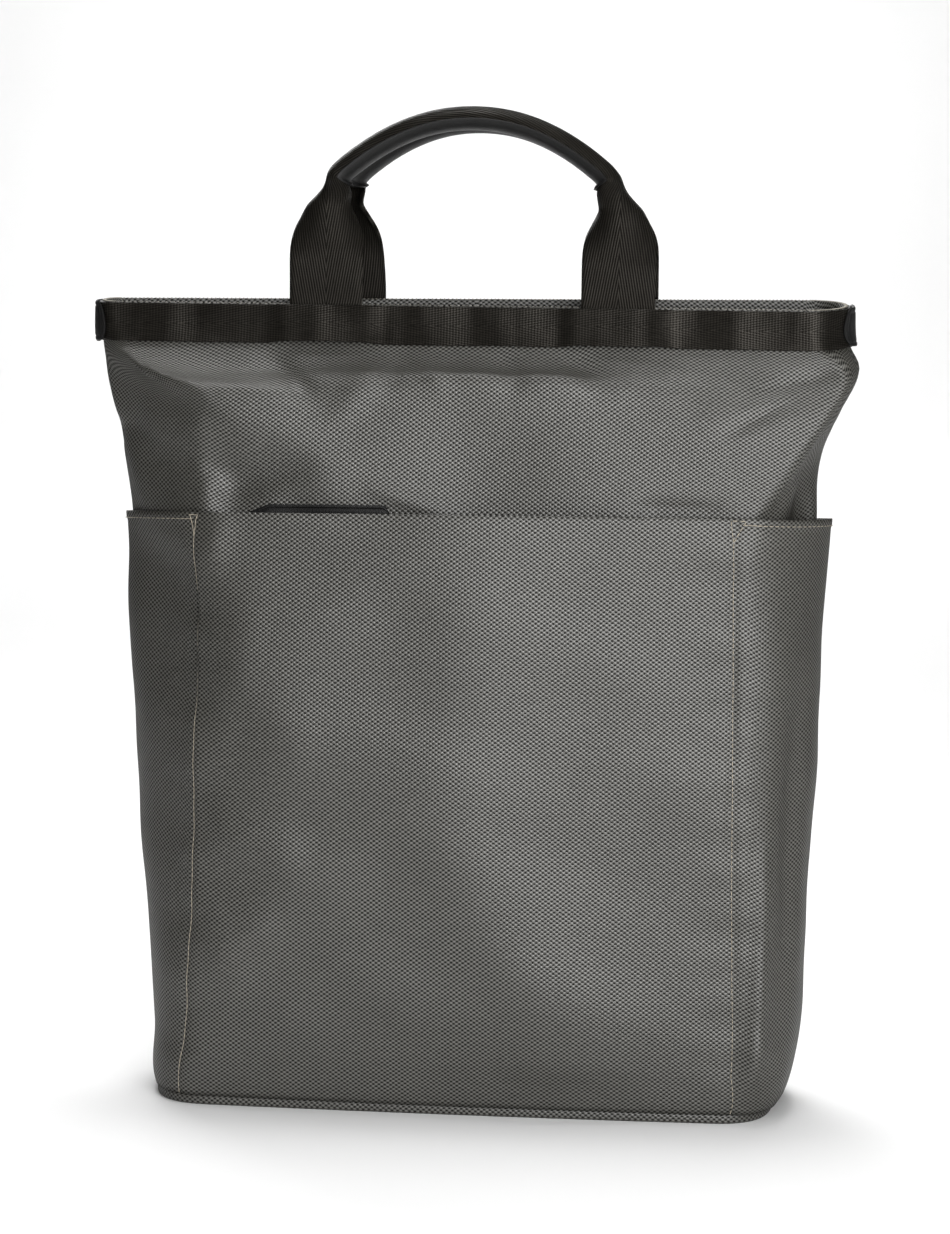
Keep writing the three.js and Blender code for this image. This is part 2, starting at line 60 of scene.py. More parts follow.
# Heights and slopes of the bag, in millimetres
RIM_HEIGHT = 400
RIM_TILT = 0.065  # the rim climbs by this share of the way to the back
RIM_RISE = 0.009  # and by this share of the way to the right
TILT_START = 320
POCKET_HEIGHT = 299
POCKET_RISE = 0.0115  # the pocket's edge climbs by this share of the way to the right
POCKET_DIP = 0.09  # and drops by this share of the way from the front to the back
WALL_FOOT = 5.4
HEM_HEIGHT = 5
HEM_WIDTH = 4

# Layers and gaps
GAP = 0.4
BAND_WIDTH = 19.5
BAND_DROP = 0.5
BAND_HIGH = RIM_HEIGHT - BAND_DROP
BAND_LOW = BAND_HIGH - BAND_WIDTH
FOOT_GAP = 0.8
FOOT_SLOPE = 12
FRONT_POCKET_ROOM = 7
SIDE_POCKET_ROOM = {"left": 0.3, "right": 2.5}
POCKET_FLARE = 1.5

# The way round the bag: turn 0 is the front's middle, 0.5 a side's middle and 1 the back's middle
GIRTH = 776
FOLD_TURN = 0.34
POCKET_SEAM_TURN = 0.345
POCKET_END_TURN = 1 - FOLD_TURN

# Sections of the bag wall from the base up: half widths to the sides and to the folds, half depths beside
# each fold, the crown of front and back, and how square each side is (1 straight, 2 round, more is squarer)
SECTION_COLUMNS = (
    "z", "left", "right", "left_fold", "right_fold", "left_depth", "right_depth", "crown",
    "left_square", "right_square",
)
SECTIONS = np.array([
    [0, 153, 154, 122, 124, 45, 45, 2, 2.6, 2.8],
    [12, 156.3, 161.5, 124, 128, 47.5, 47.5, 3, 2.4, 2.9],
    [36, 156.3, 166.8, 127, 131, 48, 48, 4, 2, 2.8],
    [80, 159.8, 168.5, 129, 133, 48, 48, 5, 1.7, 2.6],
    [160, 166, 170.7, 130, 134, 48, 48, 5.5, 1.4, 2.1],
    [240, 169.8, 172.5, 130, 135, 47, 47, 5, 1.3, 1.8],
    [297, 172, 174.5, 131, 140, 44, 44, 4, 1.25, 1.6],
    [328, 177.5, 174.5, 130, 157, 40, 42, 3, 1.25, 2.4],
    [350, 181, 182.5, 135, 170, 34, 38, 2.5, 1.3, 3.6],
    [368, 184.5, 191, 162, 179, 22, 30, 1.5, 1.5, 3.6],
    [382, 186.5, 185.7, 174, 168, 11, 23, 0.5, 1.8, 1.8],
    [400, 186.5, 184.5, 178, 166, 8, 22, 0, 2, 2],
])

# Folds and dents of the body above the pocket, and of the pocket: the middle's way round from the front and
# its height, the long axis's angle from level, half length, half width, and rise, which is below 0 for a dent
BODY_FOLDS = np.array([
    [-153.3, 361.1, 129, 23.3, 17, -2.6],
    [-147, 369.1, 146, 22.3, 6.5, -1.6],
    [-134.9, 366.7, 128, 19.2, 4, 3.5],
    [-115.3, 340.9, 117, 49.3, 9.7, 0.9],
    [-112.9, 350.2, 8, 52.4, 15.4, 4.5],
    [-105.9, 355, 178, 25, 4, 3.1],
    [-91.7, 373.1, 2, 32.3, 10.6, -1.9],
    [-89, 373.2, 157, 18.5, 7.1, -1.5],
    [-4.8, 363.4, 4, 66.1, 19.2, 2.8],
    [-3.7, 361, 1, 81.5, 7.6, 3.7],
    [15.8, 362.3, 179, 38.9, 4, 1.5],
    [75.2, 369.5, 121, 21.1, 7.9, 1.7],
    [105.3, 372.7, 177, 21.2, 6.9, -1.6],
    [105.6, 375.8, 1, 29.6, 10.1, -1.7],
    [170.3, 363.8, 69, 32, 7.6, -1.3],
    [-181.7, 334.9, 8, 15.2, 6.5, -1.6],
    [-178, 330.6, 107, 37.5, 7.7, 2.2],
    [-147.1, 301.5, 127, 62.7, 14.9, -0.8],
    [-125.9, 304.5, 95, 10.3, 6.3, 2.7],
    [-117.7, 311.3, 162, 77, 13.9, -2.5],
    [-101.7, 315.5, 15, 27.1, 11, -3.3],
    [-96.4, 337.1, 138, 58.9, 16.2, 2.1],
    [-25.3, 305.2, 163, 22.4, 4, 1.7],
    [8.1, 316.4, 82, 33.1, 32.8, -3.6],
    [140.5, 306, 122, 40, 26, -1.2],
    [153.6, 312.6, 64, 18.3, 5.8, -1.7],
    [-106.9, 282.3, 62, 63.6, 11, 0.9],
])
# Creases that run down from the band, and the dent behind the pocket's edge at the right
BODY_CREASES = np.array([
    [120, 366, 24, 17, 3.6, -2.4],
    [117, 355, 45, 20, 3.8, -2.2],
    [121, 361.5, 35, 16, 3, 1.4],
    [-43, 360, 38, 28, 5, 1.6],
    [-15, 368, 115, 12, 4.5, 1.3],
    [-74.5, 368, 100, 14, 6, -2],
    [-30, 369, 60, 12, 5, -1.6],
    [15.5, 368, 110, 12, 5, -2],
    [44, 369, 130, 14, 5.5, -2],
    [78, 363, 130, 16, 6, -1.8],
    [99, 303, 178, 20, 5, -2.5],
])
POCKET_FOLDS = np.array([
    [-172.9, 291.7, 1, 51.1, 23.7, 1.7],
    [-150.5, 262.1, 146, 31.6, 11, -1.5],
    [-147.1, 270.3, 104, 61, 16.6, -0.8],
    [-132.6, 264.9, 91, 62, 8, -1.5],
    [-124, 279.9, 68, 17.3, 8.9, 1.5],
    [102.8, 268.3, 167, 55.7, 18.1, -0.6],
    [-162.9, 239.5, 93, 37.8, 9, -1.6],
    [-158.4, 259.4, 116, 87, 20.2, -1.9],
    [-51.9, 259.1, 38, 55.9, 20.1, 1.3],
    [89.3, 236.1, 58, 57, 21.7, -0.9],
    [92.3, 242.3, 158, 56.3, 23.1, -0.9],
    [-172.8, 214.7, 113, 55.5, 18.1, 1.3],
    [-149.2, 197.5, 88, 101.5, 15.5, -3.4],
    [-113.3, 214.1, 74, 37.5, 11.9, 1.4],
    [-98.5, 215.1, 98, 94.5, 30.6, 3.6],
    [-94.1, 199.4, 148, 28.2, 11.7, 1.3],
    [2.5, 208.7, 96, 74.8, 30, 3],
    [117.1, 210.3, 58, 56.4, 18.6, -1.2],
    [-129.4, 104.4, 116, 38.8, 10.1, 1.4],
    [-101.8, 134.5, 164, 26.2, 14.4, 2.7],
    [-9.7, 133.7, 132, 110, 40, 5.8],
    [166.3, 137.8, 88, 85, 9.1, -3.7],
    [-139.7, 88.1, 86, 65, 15.5, -2.6],
    [-108, 81.6, 40, 21.3, 8.5, 1.4],
    [-98.9, 98.1, 33, 68.1, 18.3, 2.8],
    [2.2, 62.4, 170, 108.6, 40, 4.7],
    [146.4, 65.3, 88, 69.9, 4, 2],
    [-109.8, 28.6, 29, 53.4, 20.2, 1.7],
    [146.7, 41.7, 91, 44.6, 7.2, 2.1],
    [158.5, 31.1, 146, 20.6, 8.8, 2.2],
])
# Tucks of the body's sides, which the pocket panel spans
TUCKS = np.array([
    [180, 288, 90, 44, 17, -12],
    [-224, 282, 90, 45, 16, -12],
])
FOLD_MIX = 12  # way below the pocket's edge over which the body takes on the pocket's folds
FOLDS_RISE = (8, 30)  # heights between which folds grow above the base
FOLDS_FADE = (362, 377)  # heights between which they end below the rim
CREASES_FADE = (371, 379.5)
UNEVEN_HEIGHT = 0.12  # slow waves of the cloth
UNEVEN_WAVES = 14
UNEVEN_SHORT = 38
UNEVEN_LONG = 120

# How finely the pieces are divided, round the bag or across a strip, and up the bag or along a strip
BODY_COLUMNS = 280
BODY_ROWS = 140
POCKET_COLUMNS = 330
POCKET_ROWS = 120
BAND_COLUMNS = 260
BAND_ROWS = 15
TAB_COLUMNS = 41
TAB_ROWS = 33
PATCH_COLUMNS = 72
PATCH_ROWS = 40
HANDLE_COLUMNS = 25
SEWN_STATIONS = 8
LEG_STATIONS = 40
ARCH_STATIONS = 110
GRIP_COLUMNS = 25
STRAP_COLUMNS = 15
STRAP_ROWS = 90
STITCH_SIDES = 6
STITCH_LEVELS = np.radians([-88, -45, 0, 45, 88])
TURN_SAMPLES = 4000
STAGE_BEND_STEPS = 24

# Bevels along the edges of pieces
SOFT_EDGE = {"patch": 0.3, "band": 0.35, "tab": 0.3, "handle": 0.3, "grip": 0.35, "strap": 0.8}
SOFT_SEGMENTS = 2
SOFT_FROM = math.radians(50)

# Base: its profile from the middle of the underside to the middle of the inside, as way out and height
BASE_PROFILE = [
    (-30, 0), (-18, 0), (0, 0), (1.2, 0), (1.8, 0.16), (2.24, 0.6), (2.4, 1.2), (2.4, 2.5), (2.4, 3.8),
    (2.24, 4.4), (1.8, 4.84), (1.2, 5), (0, 5), (-1.6, 5), (-1.6, 2), (-18, 2), (-30, 2),
]

# Pocket: turns of its two seams at heights, their pinch and puckers, its side hems and stitched triangles
SEAM_HEIGHTS = (0, 25, 72, 114, 164, 223, 274, 299)
SEAM_TURNS = {
    "left": (-0.382, -0.374, -0.359, -0.354, -0.350, -0.346, -0.350, -0.342),
    "right": (0.364, 0.350, 0.345, 0.343, 0.342, 0.339, 0.332, 0.323),
}
SEAM_PINCH = 0.7
SEAM_WIDTH = 2.2
PUCKER_HEIGHT = 0.5
PUCKER_REACH = 16
PUCKER_LONG = 74
PUCKER_SHORT = 31
PUCKER_DRIFT = 9  # change of the long wave's phase over a turn of 1
PUCKER_PHASE = 1
HEM_FOLD = 0.5
HEM_STITCH = 3.4
HEM_STEP = (HEM_STITCH - 0.8, HEM_STITCH + 0.6)  # ways below the edge between which the doubled cloth ends
HEM_FROM_SEAM = 3
TRIANGLE_WIDTH = 7
TRIANGLE_DROP = 12
TRIANGLE_TOP = 1.4
STITCH_STAND = 0.95  # the thread's middle stands out of the cloth by this share of its thickness
STITCH_LOOK = 0.2  # share of a stitch's length over which its direction is taken
STITCH_SHARE = {"left": 1.06, "right": 0.84}  # length of a stitch over the distance between stitches

# Leather patch on the body
PATCH_LEFT = -105
PATCH_RIGHT = -35.5
PATCH_SHOWS = 4.2
PATCH_HEIGHT = 34
PATCH_CORNER = 4
PATCH_SLOPE = 10  # length over which the left end slopes down to the pocket's edge
PATCH_LINE = 1.9  # way below the upper edge of a pressed line
PATCH_LINE_DEPTH = 0.45
PATCH_LINE_WIDTH = 0.4
PATCH_EDGE = 0.5  # depth and width of the thinned upper edge

# Rim bands and their end tabs
BAND_END_TURN = 0.4985
BAND_EDGE = 0.5
BAND_EDGE_WIDTH = 0.7
BAND_SLACK = 0.5
SLACK_LONG = 17  # lengths of the band's waves per radian
SLACK_SHORT = 7.3
SLACK_PHASE = 1
SLACK_SKEWED = 11
SLACK_SKEW = 2  # change of the skewed wave's phase across the band
SLACK_SKEWED_SHARE = 0.6
SLACK_AT_EDGE = 0.4  # share of the waves that is left at the band's edges
EDGE_PITCH = 1.45
EDGE_YARN = 0.8
EDGE_COVER = 1.25  # length of an edge stitch over the wall's thickness
EDGE_LEAN = 0.5
TAB_TURN = {"left": 0.1, "right": 0.066}
TAB_OVER = 0.4  # way by which a tab stands past the band's lower edge
TAB_GAP = 0.6
TAB_ENDS = 0.55  # width of a tab at its upper and lower end over its full width
TAB_LINE = 0.76  # share of the way to the edge at which a line is pressed in
TAB_LINE_DEPTH = 0.35
TAB_LINE_WIDTH = 0.05
TAB_EDGE = 0.5
TAB_EDGE_FROM = 0.9

# Handles: x of the left and right foot, and how much lower than the front one the handle stands
HANDLE_FEET = {"front": (-72, 73, 0), "back": (-64, 72, 1.6)}
FOOT_DEPTH = 18
HANDLE_EDGE = 0.45
HANDLE_EDGE_WIDTH = 0.05
FACING_RISE = 40  # height above the rim at which the strip has turned from the wall's slope to upright
ARCH_ENDS = {"front": (-72.5, 73), "back": (-68, 72)}  # x of the arch's ends, above its necks
ARCH_DROP = 32  # height of the arch's top above its ends
ARCH_POWER = 2.1
NECK_SMOOTH_FROM = 20
NECK_PASSES = 12
GRIP_Y = 10.6
GRIP_CURL = math.radians(340)
LEAST_CURL = 0.02
GRIP_FLATNESS = 0.74
CURL_RISES = (18, 70)  # heights above the rim between which the strip curls
TWIST_RISES = (46, 64)  # and between which it turns its opening down
GRIP_FROM_RISE = 57
GRIP_GAP = 0.9
GRIP_HALF_WRAP = math.radians(84)
GRIP_END = 5  # length over which the leather's ends are rounded
GRIP_TIP = 0.7  # share of the wrap that is left at the very end

# Shoulder straps
STRAP_THICKNESS = 4
STRAP_UNDER = 0.6  # way by which the underside is raised
STRAP_CROWN = 0.35
STRAP_CROWN_POWER = 3
STRAP_TOP_WIDTH = 50
STRAP_FOOT_WIDTH = 28
STRAP_TOP_X = 48
STRAP_TOP_Z = BAND_LOW - 3
STRAP_FOOT_X = 108
STRAP_FOOT_Z = 14
STRAP_BOW = 26
STRAP_GAP = 1
STRAP_SEWN = 0.06  # share of the length that is sewn down at each end
STRAP_TAPER = (0.15, 0.6)  # shares of the length between which the strap widens

# Finishes: noise scales per metre, reaches in metres, places on ramps, and shares
CLOTH_WANDER = ((300, 0.0005), (230, 0.0004))  # noise that moves yarns across and up, and its reach
# The ramp's brightest tone is a painted highlight on the most raised yarns, and its darkest is painted shade
# in the gaps at the sunken ones
CLOTH_STOPS = (0.05, 0.28, 0.58, 0.84)  # from raised to sunken yarns
# Painted highlight: the tone of the most raised yarn over the cloth's light colour
CLOTH_PAINTED_HIGHLIGHT = 1.5  # the most raised yarn over the light colour
CLOTH_STREAKS = (60, 900, 1)  # noise scales across and up the cloth
CLOTH_STREAK_TINT = (0.86, 1.12)
CLOTH_CLOUDS = 26
CLOTH_CLOUD_TINT = (0.93, 1.06)
CLOTH_GLOSS = (0.25, 0.7, 0.08, 1)  # two heights of the weave, and the gloss at each
CLOTH_BUMP = (0.55, 0.0004)  # strength and depth
WEBBINGS = {  # ridge spacing and rib pitch, the ribs' share of the relief, and the least and most gloss
    "handle_webbing": (1.3, 1.3, 0.04, (0.07, 0.11)),
    "rim_webbing": (1.2, 1.5, 0.2, (0.04, 0.3)),
    "strap_webbing": (2.2, 1.7, 0.08, (0.13, 0.2)),
}
WEBBING_LEAN = 0.18  # way aside of a ridge over a way along of 1
WEBBING_RELIEF = 0.45  # greatest height of ridges and ribs together from the mean
# Places on the ramp from the grooves, painted darker as shade, to the ridges
WEBBING_STOPS = (0.15, 0.85)
WEBBING_YARNS = (900, 90, 1)  # noise scales across and along the webbing
WEBBING_YARN_TINT = (0.7, 1.25)
WEBBING_PATCHES = (12, 46, 1)
WEBBING_PATCH_RANGE = (0.42, 0.68)
WEBBING_SHINE = (1, 0.93, 0.83, 1)
WEBBING_BUMP = (0.45, 0.0004)
LEATHER_CELLS = 1300
LEATHER_BREAKS = (700, 3)  # scale and detail of the noise that breaks up the cells
LEATHER_STOPS = (0.2, 0.9)
LEATHER_CLOUDS = 90
LEATHER_CLOUD_TINT = (0.8, 1.25)
LEATHER_WEAR = 160
LEATHER_ROUGHNESS = (0.4, 0.58)
LEATHER_BUMP = (0.25, 0.0003)
THREAD_NOISE = 400
THREAD_STOPS = (0.3, 0.7)
THREAD_DARK = 0.6  # the darkest stitch over the thread's colour
TINT_STOPS = (0.25, 0.75)
MIX_INPUTS = (6, 7)  # numbers of the two colour inputs of a Mix node, whose names it uses more than once
MIX_OUTPUT = 2
RANGE_INPUTS = slice(1, 5)  # the four bounds of a Map Range node
PAPER_NOISE = 2
PAPER_TONES = (0.86, 0.9)

# Camera, in millimetres and degrees
CAMERA_AZIMUTH = 6
CAMERA_ELEVATION = 7.2
CAMERA_ROLL = 0.72
CAMERA_DISTANCE = 2040
CAMERA_AIM_Z = 250
CAMERA_ASIDE = 2.5
CAMERA_BELOW = 7
SENSOR_WIDTH = 36
CAMERA_LENS = 154.6
CAMERA_FAR = 50  # in metres

# Stage, in metres. A light has a place, a target, a size, a spread in degrees and a power in watts
STAGE_HALF = 12
STAGE_BACK = 4.2
STAGE_BEND = 1.2
WORLD_STRENGTH = 0.02
LIGHTS = [
    ("front_right", (0.45, -1.24, 0.53), (0, 0, 0.25), 0.7, 180, 9.2),
    ("side_front", (0.85, -1.01, 0.53), (0, 0, 0.25), 0.7, 180, 4.4),
    ("front", (0, -1.32, 0.53), (0, 0, 0.25), 0.7, 180, 2.5),
    ("front_high", (0, -0.83, 1.31), (0, 0, 0.25), 0.7, 180, 3),
    ("right_high", (0.39, -1.08, 0.97), (0, 0, 0.25), 0.7, 180, 1.5),
    ("side", (1.32, 0, 0.53), (0, 0, 0.25), 0.7, 180, 1.3),
    ("pool_near", (0, 0.2, 2.2), (0, 0.1, 0), 0.9, 50, 1.6),
    ("pool_back", (0, 0.55, 2.3), (0, 0.35, 0), 1.0, 60, 2.9),
    ("pool_left", (-0.8, 0.3, 2.2), (-0.8, 0.4, 0), 0.9, 60, 0.5),
    ("pool_far", (0, 1.5, 2.2), (0, 1.6, 0), 1.2, 80, 9.6),
    ("left_mid", (-1.0, 1.5, 2.2), (-1.0, 1.6, 0), 1.2, 80, 4.1),
    ("pool_mid", (0, 2.8, 2.2), (0, 2.9, 0), 1.2, 80, 4),
    ("left_far", (-1.2, 3.2, 2.2), (-1.2, 3.3, 0), 1.2, 80, 9.8),
    ("right_far", (1.2, 3.2, 2.2), (1.2, 3.3, 0), 1.2, 80, 12.4),
    ("pool_end", (0, 4.3, 2.2), (0, 4.5, 0), 1.4, 100, 4.3),
    ("wall", (0, 3.4, 2.4), (0, 5.3, 0.4), 1.4, 80, 10.2),
    ("wall_left", (-1.3, 3.6, 2.2), (-1.4, 5.3, 0.5), 1.4, 80, 8.8),
    ("behind", (-0.9, 1.9, 1.3), (0, 0, 0.25), 1.2, 60, 3),
    ("pool_before", (0, -3.2, 2.2), (0, -3.3, 0), 1.6, 90, 26),
    ("pool_left_out", (-3.2, 0, 2.2), (-3.3, 0, 0), 1.6, 80, 18),
    ("pool_right_out", (3.2, 0, 2.2), (3.3, 0, 0), 1.6, 80, 18),
]


def smoothstep(value, low, high):
    """A smooth rise from 0 at low to 1 at high: t squared times 3 - 2 t."""
    t = np.clip((value - low) / (high - low), 0, 1)
    return t * t * (3 - 2 * t)


def lerp(start, end, share):
    """The straight mix of two values or arrays."""
    return start + (end - start) * share


def unit(vectors):
    """The vectors, each divided by its length."""
    return vectors / np.maximum(np.linalg.norm(vectors, axis=-1, keepdims=True), 1e-12)


def bell(distance, width, height):
    """A bell curve: the height times exp(-(distance / width)^2)."""
    return height * np.exp(-((distance / width) ** 2))


def spread_out(turn, z):
    """Turns and heights as arrays of one shape."""
    return np.broadcast_arrays(np.asarray(turn, float), np.asarray(z, float))


def section_value(name, z):
    """One column of the section table at heights z, on a cubic curve through its rows with their mean
    slopes."""
    heights = SECTIONS[:, 0]
    values = SECTIONS[:, SECTION_COLUMNS.index(name)]
    last = len(heights) - 1
    order = np.arange(last + 1)
    before = np.maximum(order - 1, 0)
    after = np.minimum(order + 1, last)
    slopes = (values[after] - values[before]) / (heights[after] - heights[before])
    i = np.clip(np.searchsorted(heights, z, side="left"), 1, last)
    span = heights[i] - heights[i - 1]
    t = (z - heights[i - 1]) / span
    rest = 1 - t
    ends = values[i - 1] * (1 + 2 * t) * rest**2 + values[i] * (3 - 2 * t) * t**2
    return ends + span * t * rest * (slopes[i - 1] * rest - slopes[i] * t)


def wrap_turn(turn):
    """The turn brought into the range from -1 to 1."""
    return turn - 2 * np.round(turn / 2)


def base_points(turn, z):
    """The base surface. Up to the fold, x is the fold's half width times the share of the way there, and
    the depth is a straight mix of the two folds' depths plus a crown. Past it, x and depth follow a
    superellipse."""
    turn, z = spread_out(turn, z)
    wrapped = wrap_turn(turn)
    is_left = wrapped < 0
    sign = np.where(is_left, -1.0, 1.0)
    is_front = np.abs(wrapped) <= 0.5
    quarter = np.where(is_front, np.abs(wrapped), 1 - np.abs(wrapped))
    left_fold = section_value("left_fold", z)
    right_fold = section_value("right_fold", z)
    left_depth = section_value("left_depth", z)
    right_depth = section_value("right_depth", z)
    fold = np.where(is_left, left_fold, right_fold)
    reach = np.where(is_left, section_value("left", z), section_value("right", z))
    share = np.minimum(quarter / FOLD_TURN, 1)
    along = (sign * fold * share + left_fold) / (left_fold + right_fold)
    flat_depth = lerp(left_depth, right_depth, along) + section_value("crown", z) * (1 - share**2)
    angle = np.clip((quarter - FOLD_TURN) / (0.5 - FOLD_TURN), 0, 1) * (math.pi / 2)
    power = 2 / np.where(is_left, section_value("left_square", z), section_value("right_square", z))
    side_across = fold + (reach - fold) * np.sin(angle) ** power
    side_depth = np.where(is_left, left_depth, right_depth) * np.maximum(np.cos(angle), 0) ** power
    is_flat = quarter <= FOLD_TURN
    x = sign * np.where(is_flat, fold * share, side_across)
    y = np.where(is_flat, flat_depth, side_depth) * np.where(is_front, -1, 1)
    tilt = (RIM_TILT * y + RIM_RISE * x) * smoothstep(z, TILT_START, RIM_HEIGHT)
    return np.stack([x, y, z + tilt], axis=-1)


def surface_frame(turn, z):
    """The surface's ways round the bag, up and outward, from small differences."""
    turn_step = 0.004
    rise_step = 0.5
    low = np.maximum(z - rise_step, 0)
    high = np.minimum(z + rise_step, RIM_HEIGHT)
    round_way = unit(base_points(turn + turn_step, z) - base_points(turn - turn_step, z))
    up_way = unit(base_points(turn, high) - base_points(turn, low))
    return round_way, up_way, unit(np.cross(round_way, up_way))


def raised_points(turn, z, out):
    """Points at distances outside the base surface."""
    return base_points(turn, z) + surface_frame(turn, z)[2] * out[..., None]


def fold_share(z, ends=FOLDS_FADE):
    """The share of a fold's rise at heights: it grows above the base and fades below the rim."""
    return smoothstep(z, *FOLDS_RISE) * (1 - smoothstep(z, *ends))


def bump_sum(rows, turn, z, ends=FOLDS_FADE):
    """The sum of long round bumps on the unrolled surface, each its rise times exp(-along^4 - across^2)."""
    place = wrap_turn(turn) * GIRTH / 2
    total = np.zeros(np.broadcast(turn, z).shape)
    for middle, height, tilt, length, width, rise in rows:
        angle = math.radians(tilt)
        aside = place - middle
        above = z - height
        along = (aside * math.cos(angle) + above * math.sin(angle)) / length
        across = (above * math.cos(angle) - aside * math.sin(angle)) / width
        total = total + rise * np.exp(-(along**4) - across**2)
    return total * fold_share(z, ends)


def uneven(turn, z):
    """Slow waves of slack cloth: a sum of cosines with seeded directions, lengths and phases."""
    draw = np.random.default_rng(SEED)
    place = wrap_turn(turn) * GIRTH / 2
    total = np.zeros(np.broadcast(turn, z).shape)
    for _ in range(UNEVEN_WAVES):
        angle = draw.uniform(0, math.pi)
        wave = 2 * math.pi / draw.uniform(UNEVEN_SHORT, UNEVEN_LONG)
        phase = draw.uniform(0, 2 * math.pi)
        total = total + np.cos(wave * (place * math.cos(angle) + z * math.sin(angle)) + phase)
    return total * UNEVEN_HEIGHT * fold_share(z)


def folded_points(turn, z, out):
    """Points at a distance outside the base surface with the pocket's folds."""
    turn, z = spread_out(turn, z)
    height = bump_sum(POCKET_FOLDS, turn, z) + uneven(turn, z)
    return raised_points(turn, z, height + out)


def body_points(turn, z, out):
    """Points at a distance outside the body, which has its own folds above the pocket's edge, the pocket's
    folds below it, and sides that are tucked in behind the pocket."""
    turn, z = spread_out(turn, z)
    edge = pocket_top(turn)
    share = smoothstep(z, edge - FOLD_MIX, edge)
    creases = bump_sum(BODY_CREASES, turn, z, CREASES_FADE)
    own = bump_sum(BODY_FOLDS, turn, z) + creases - bump_sum(POCKET_FOLDS, turn, z)
    return folded_points(turn, z, share * own + bump_sum(TUCKS, turn, z) + out)


def turn_across(x, z, is_front):
    """The turn at which the front or back has a given x."""
    fold = np.where(np.asarray(x) < 0, section_value("left_fold", z), section_value("right_fold", z))
    share = x / fold * FOLD_TURN
    return share if is_front else 1 - share


def pocket_top(turn):
    """The height of the pocket's edge, which lies in a plane that rises to the right and dips to the
    back."""
    place = base_points(turn, POCKET_HEIGHT)
    behind = place[..., 1] - base_points(0, POCKET_HEIGHT)[..., 1]
    return POCKET_HEIGHT + POCKET_RISE * place[..., 0] - POCKET_DIP * behind


def path_lengths(points):
    """The length along a path at each of its points."""
    return np.concatenate([[0], np.cumsum(np.linalg.norm(np.diff(points, axis=0), axis=-1))])


def even_turns(start, end, count):
    """Turns from start to end at equal lengths of cloth round the bag at two thirds of the pocket's
    height."""
    fine = np.linspace(start, end, TURN_SAMPLES)
    lengths = path_lengths(base_points(fine, POCKET_HEIGHT * 2 / 3))
    return np.interp(np.linspace(0, lengths[-1], count), lengths, fine)


def cloth_map(points, origin_column=None):
    """A UV map in metres: the length along each row from a column, and the length up each column."""
    across = np.linalg.norm(np.diff(points, axis=0), axis=-1)
    across = np.concatenate([np.zeros((1, points.shape[1])), np.cumsum(across, axis=0)])
    if origin_column is not None:
        across = across - across[origin_column]
    up = np.linalg.norm(np.diff(points, axis=1), axis=-1)
    up = np.concatenate([np.zeros((points.shape[0], 1)), np.cumsum(up, axis=1)], axis=1)
    return np.stack([across, up], axis=-1) * MM


def grid_quads(columns, rows, is_ring):
    """Corner numbers of the quads of a grid, column by column; a ring joins its last column to its
    first."""
    i = np.arange(columns if is_ring else columns - 1)[:, None]
    j = np.arange(rows - 1)[None, :]
    after = (i + 1) % columns
    return np.stack(
        [i * rows + j, after * rows + j, after * rows + j + 1, i * rows + j + 1], axis=-1
    ).reshape(-1, 4)


def mesh_piece(name, points, faces, corner_uv, finish):
    """A piece from points in millimetres, faces, a UV pair for each face corner, and a finish."""
    mesh = bpy.data.meshes.new(name)
    mesh.from_pydata((points.reshape(-1, 3) * MM).tolist(), [], faces)
    mesh.polygons.foreach_set("use_smooth", np.ones(len(faces), bool))
    layer = mesh.uv_layers.new(name="cloth")
    layer.data.foreach_set("uv", corner_uv.astype(np.float32).ravel())
    mesh.materials.append(finish)
    mesh.update()
    piece = bpy.data.objects.new(name, mesh)
    bpy.context.scene.collection.objects.link(piece)
    return piece


def surface_piece(name, points, uv, finish, thickness=0, is_ring=False):
    """A piece from a grid of points, whose outside is the way along the columns crossed with the way up the
    rows. A thickness grows inward. A ring's uv has one more column than its points."""
    columns, rows = points.shape[:2]
    quads = grid_quads(columns, rows, is_ring)
    uv_quads = grid_quads(columns + 1, rows, False) if is_ring else quads
    piece = mesh_piece(name, points, quads.tolist(), uv.reshape(-1, 2)[uv_quads], finish)
    if thickness:
        wall = piece.modifiers.new("wall", "SOLIDIFY")
        wall.thickness = thickness * MM
        wall.offset = -1
    return piece


def settle(piece, slot, *nodes):
    """The piece rides on the bag and stands for its frame nodes, which are hidden. The slot is not used."""
    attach(piece, "root")
    if nodes:
        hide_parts(*nodes)
    return piece


def stitch_piece(name, centres, along, out, length, width, finish):
    """Stitches as one mesh: an ellipsoid of few faces, set along a seam at each centre."""
    around = np.linspace(0, 2 * math.pi, STITCH_SIDES, endpoint=False)[:, None]
    lengthwise = np.sin(STITCH_LEVELS)[None, :] + 0 * around
    sideways = np.cos(STITCH_LEVELS) * np.cos(around)
    outward = np.cos(STITCH_LEVELS) * np.sin(around)
    across = unit(np.cross(along, out))
    shape = [part[None, ..., None] for part in (lengthwise, sideways, outward)]
    points = (
        centres[:, None, None, :]
        + shape[0] * along[:, None, None, :] * length / 2
        + shape[1] * across[:, None, None, :] * width / 2
        + shape[2] * out[:, None, None, :] * width / 2
    )
    count = lengthwise.size
    one = grid_quads(STITCH_SIDES, len(STITCH_LEVELS), True)
    quads = (one[None] + (np.arange(len(centres)) * count)[:, None, None]).reshape(-1, 4)
    numbers = np.repeat(np.arange(len(centres)), count)
    flat = np.stack([numbers, np.tile(lengthwise.ravel(), len(centres))], axis=-1) * length * MM
    return mesh_piece(name, points, quads.tolist(), flat[quads], finish)


def length_property(name, description, size):
    """A length of the bag, whose default is given in millimetres."""
    return bpy.props.FloatProperty(name=name, description=description, default=size * MM, unit="LENGTH")


def colour_property(name, description, colour):
    """A colour of the bag."""
    return bpy.props.FloatVectorProperty(name=name, description=description, default=colour, subtype="COLOR")


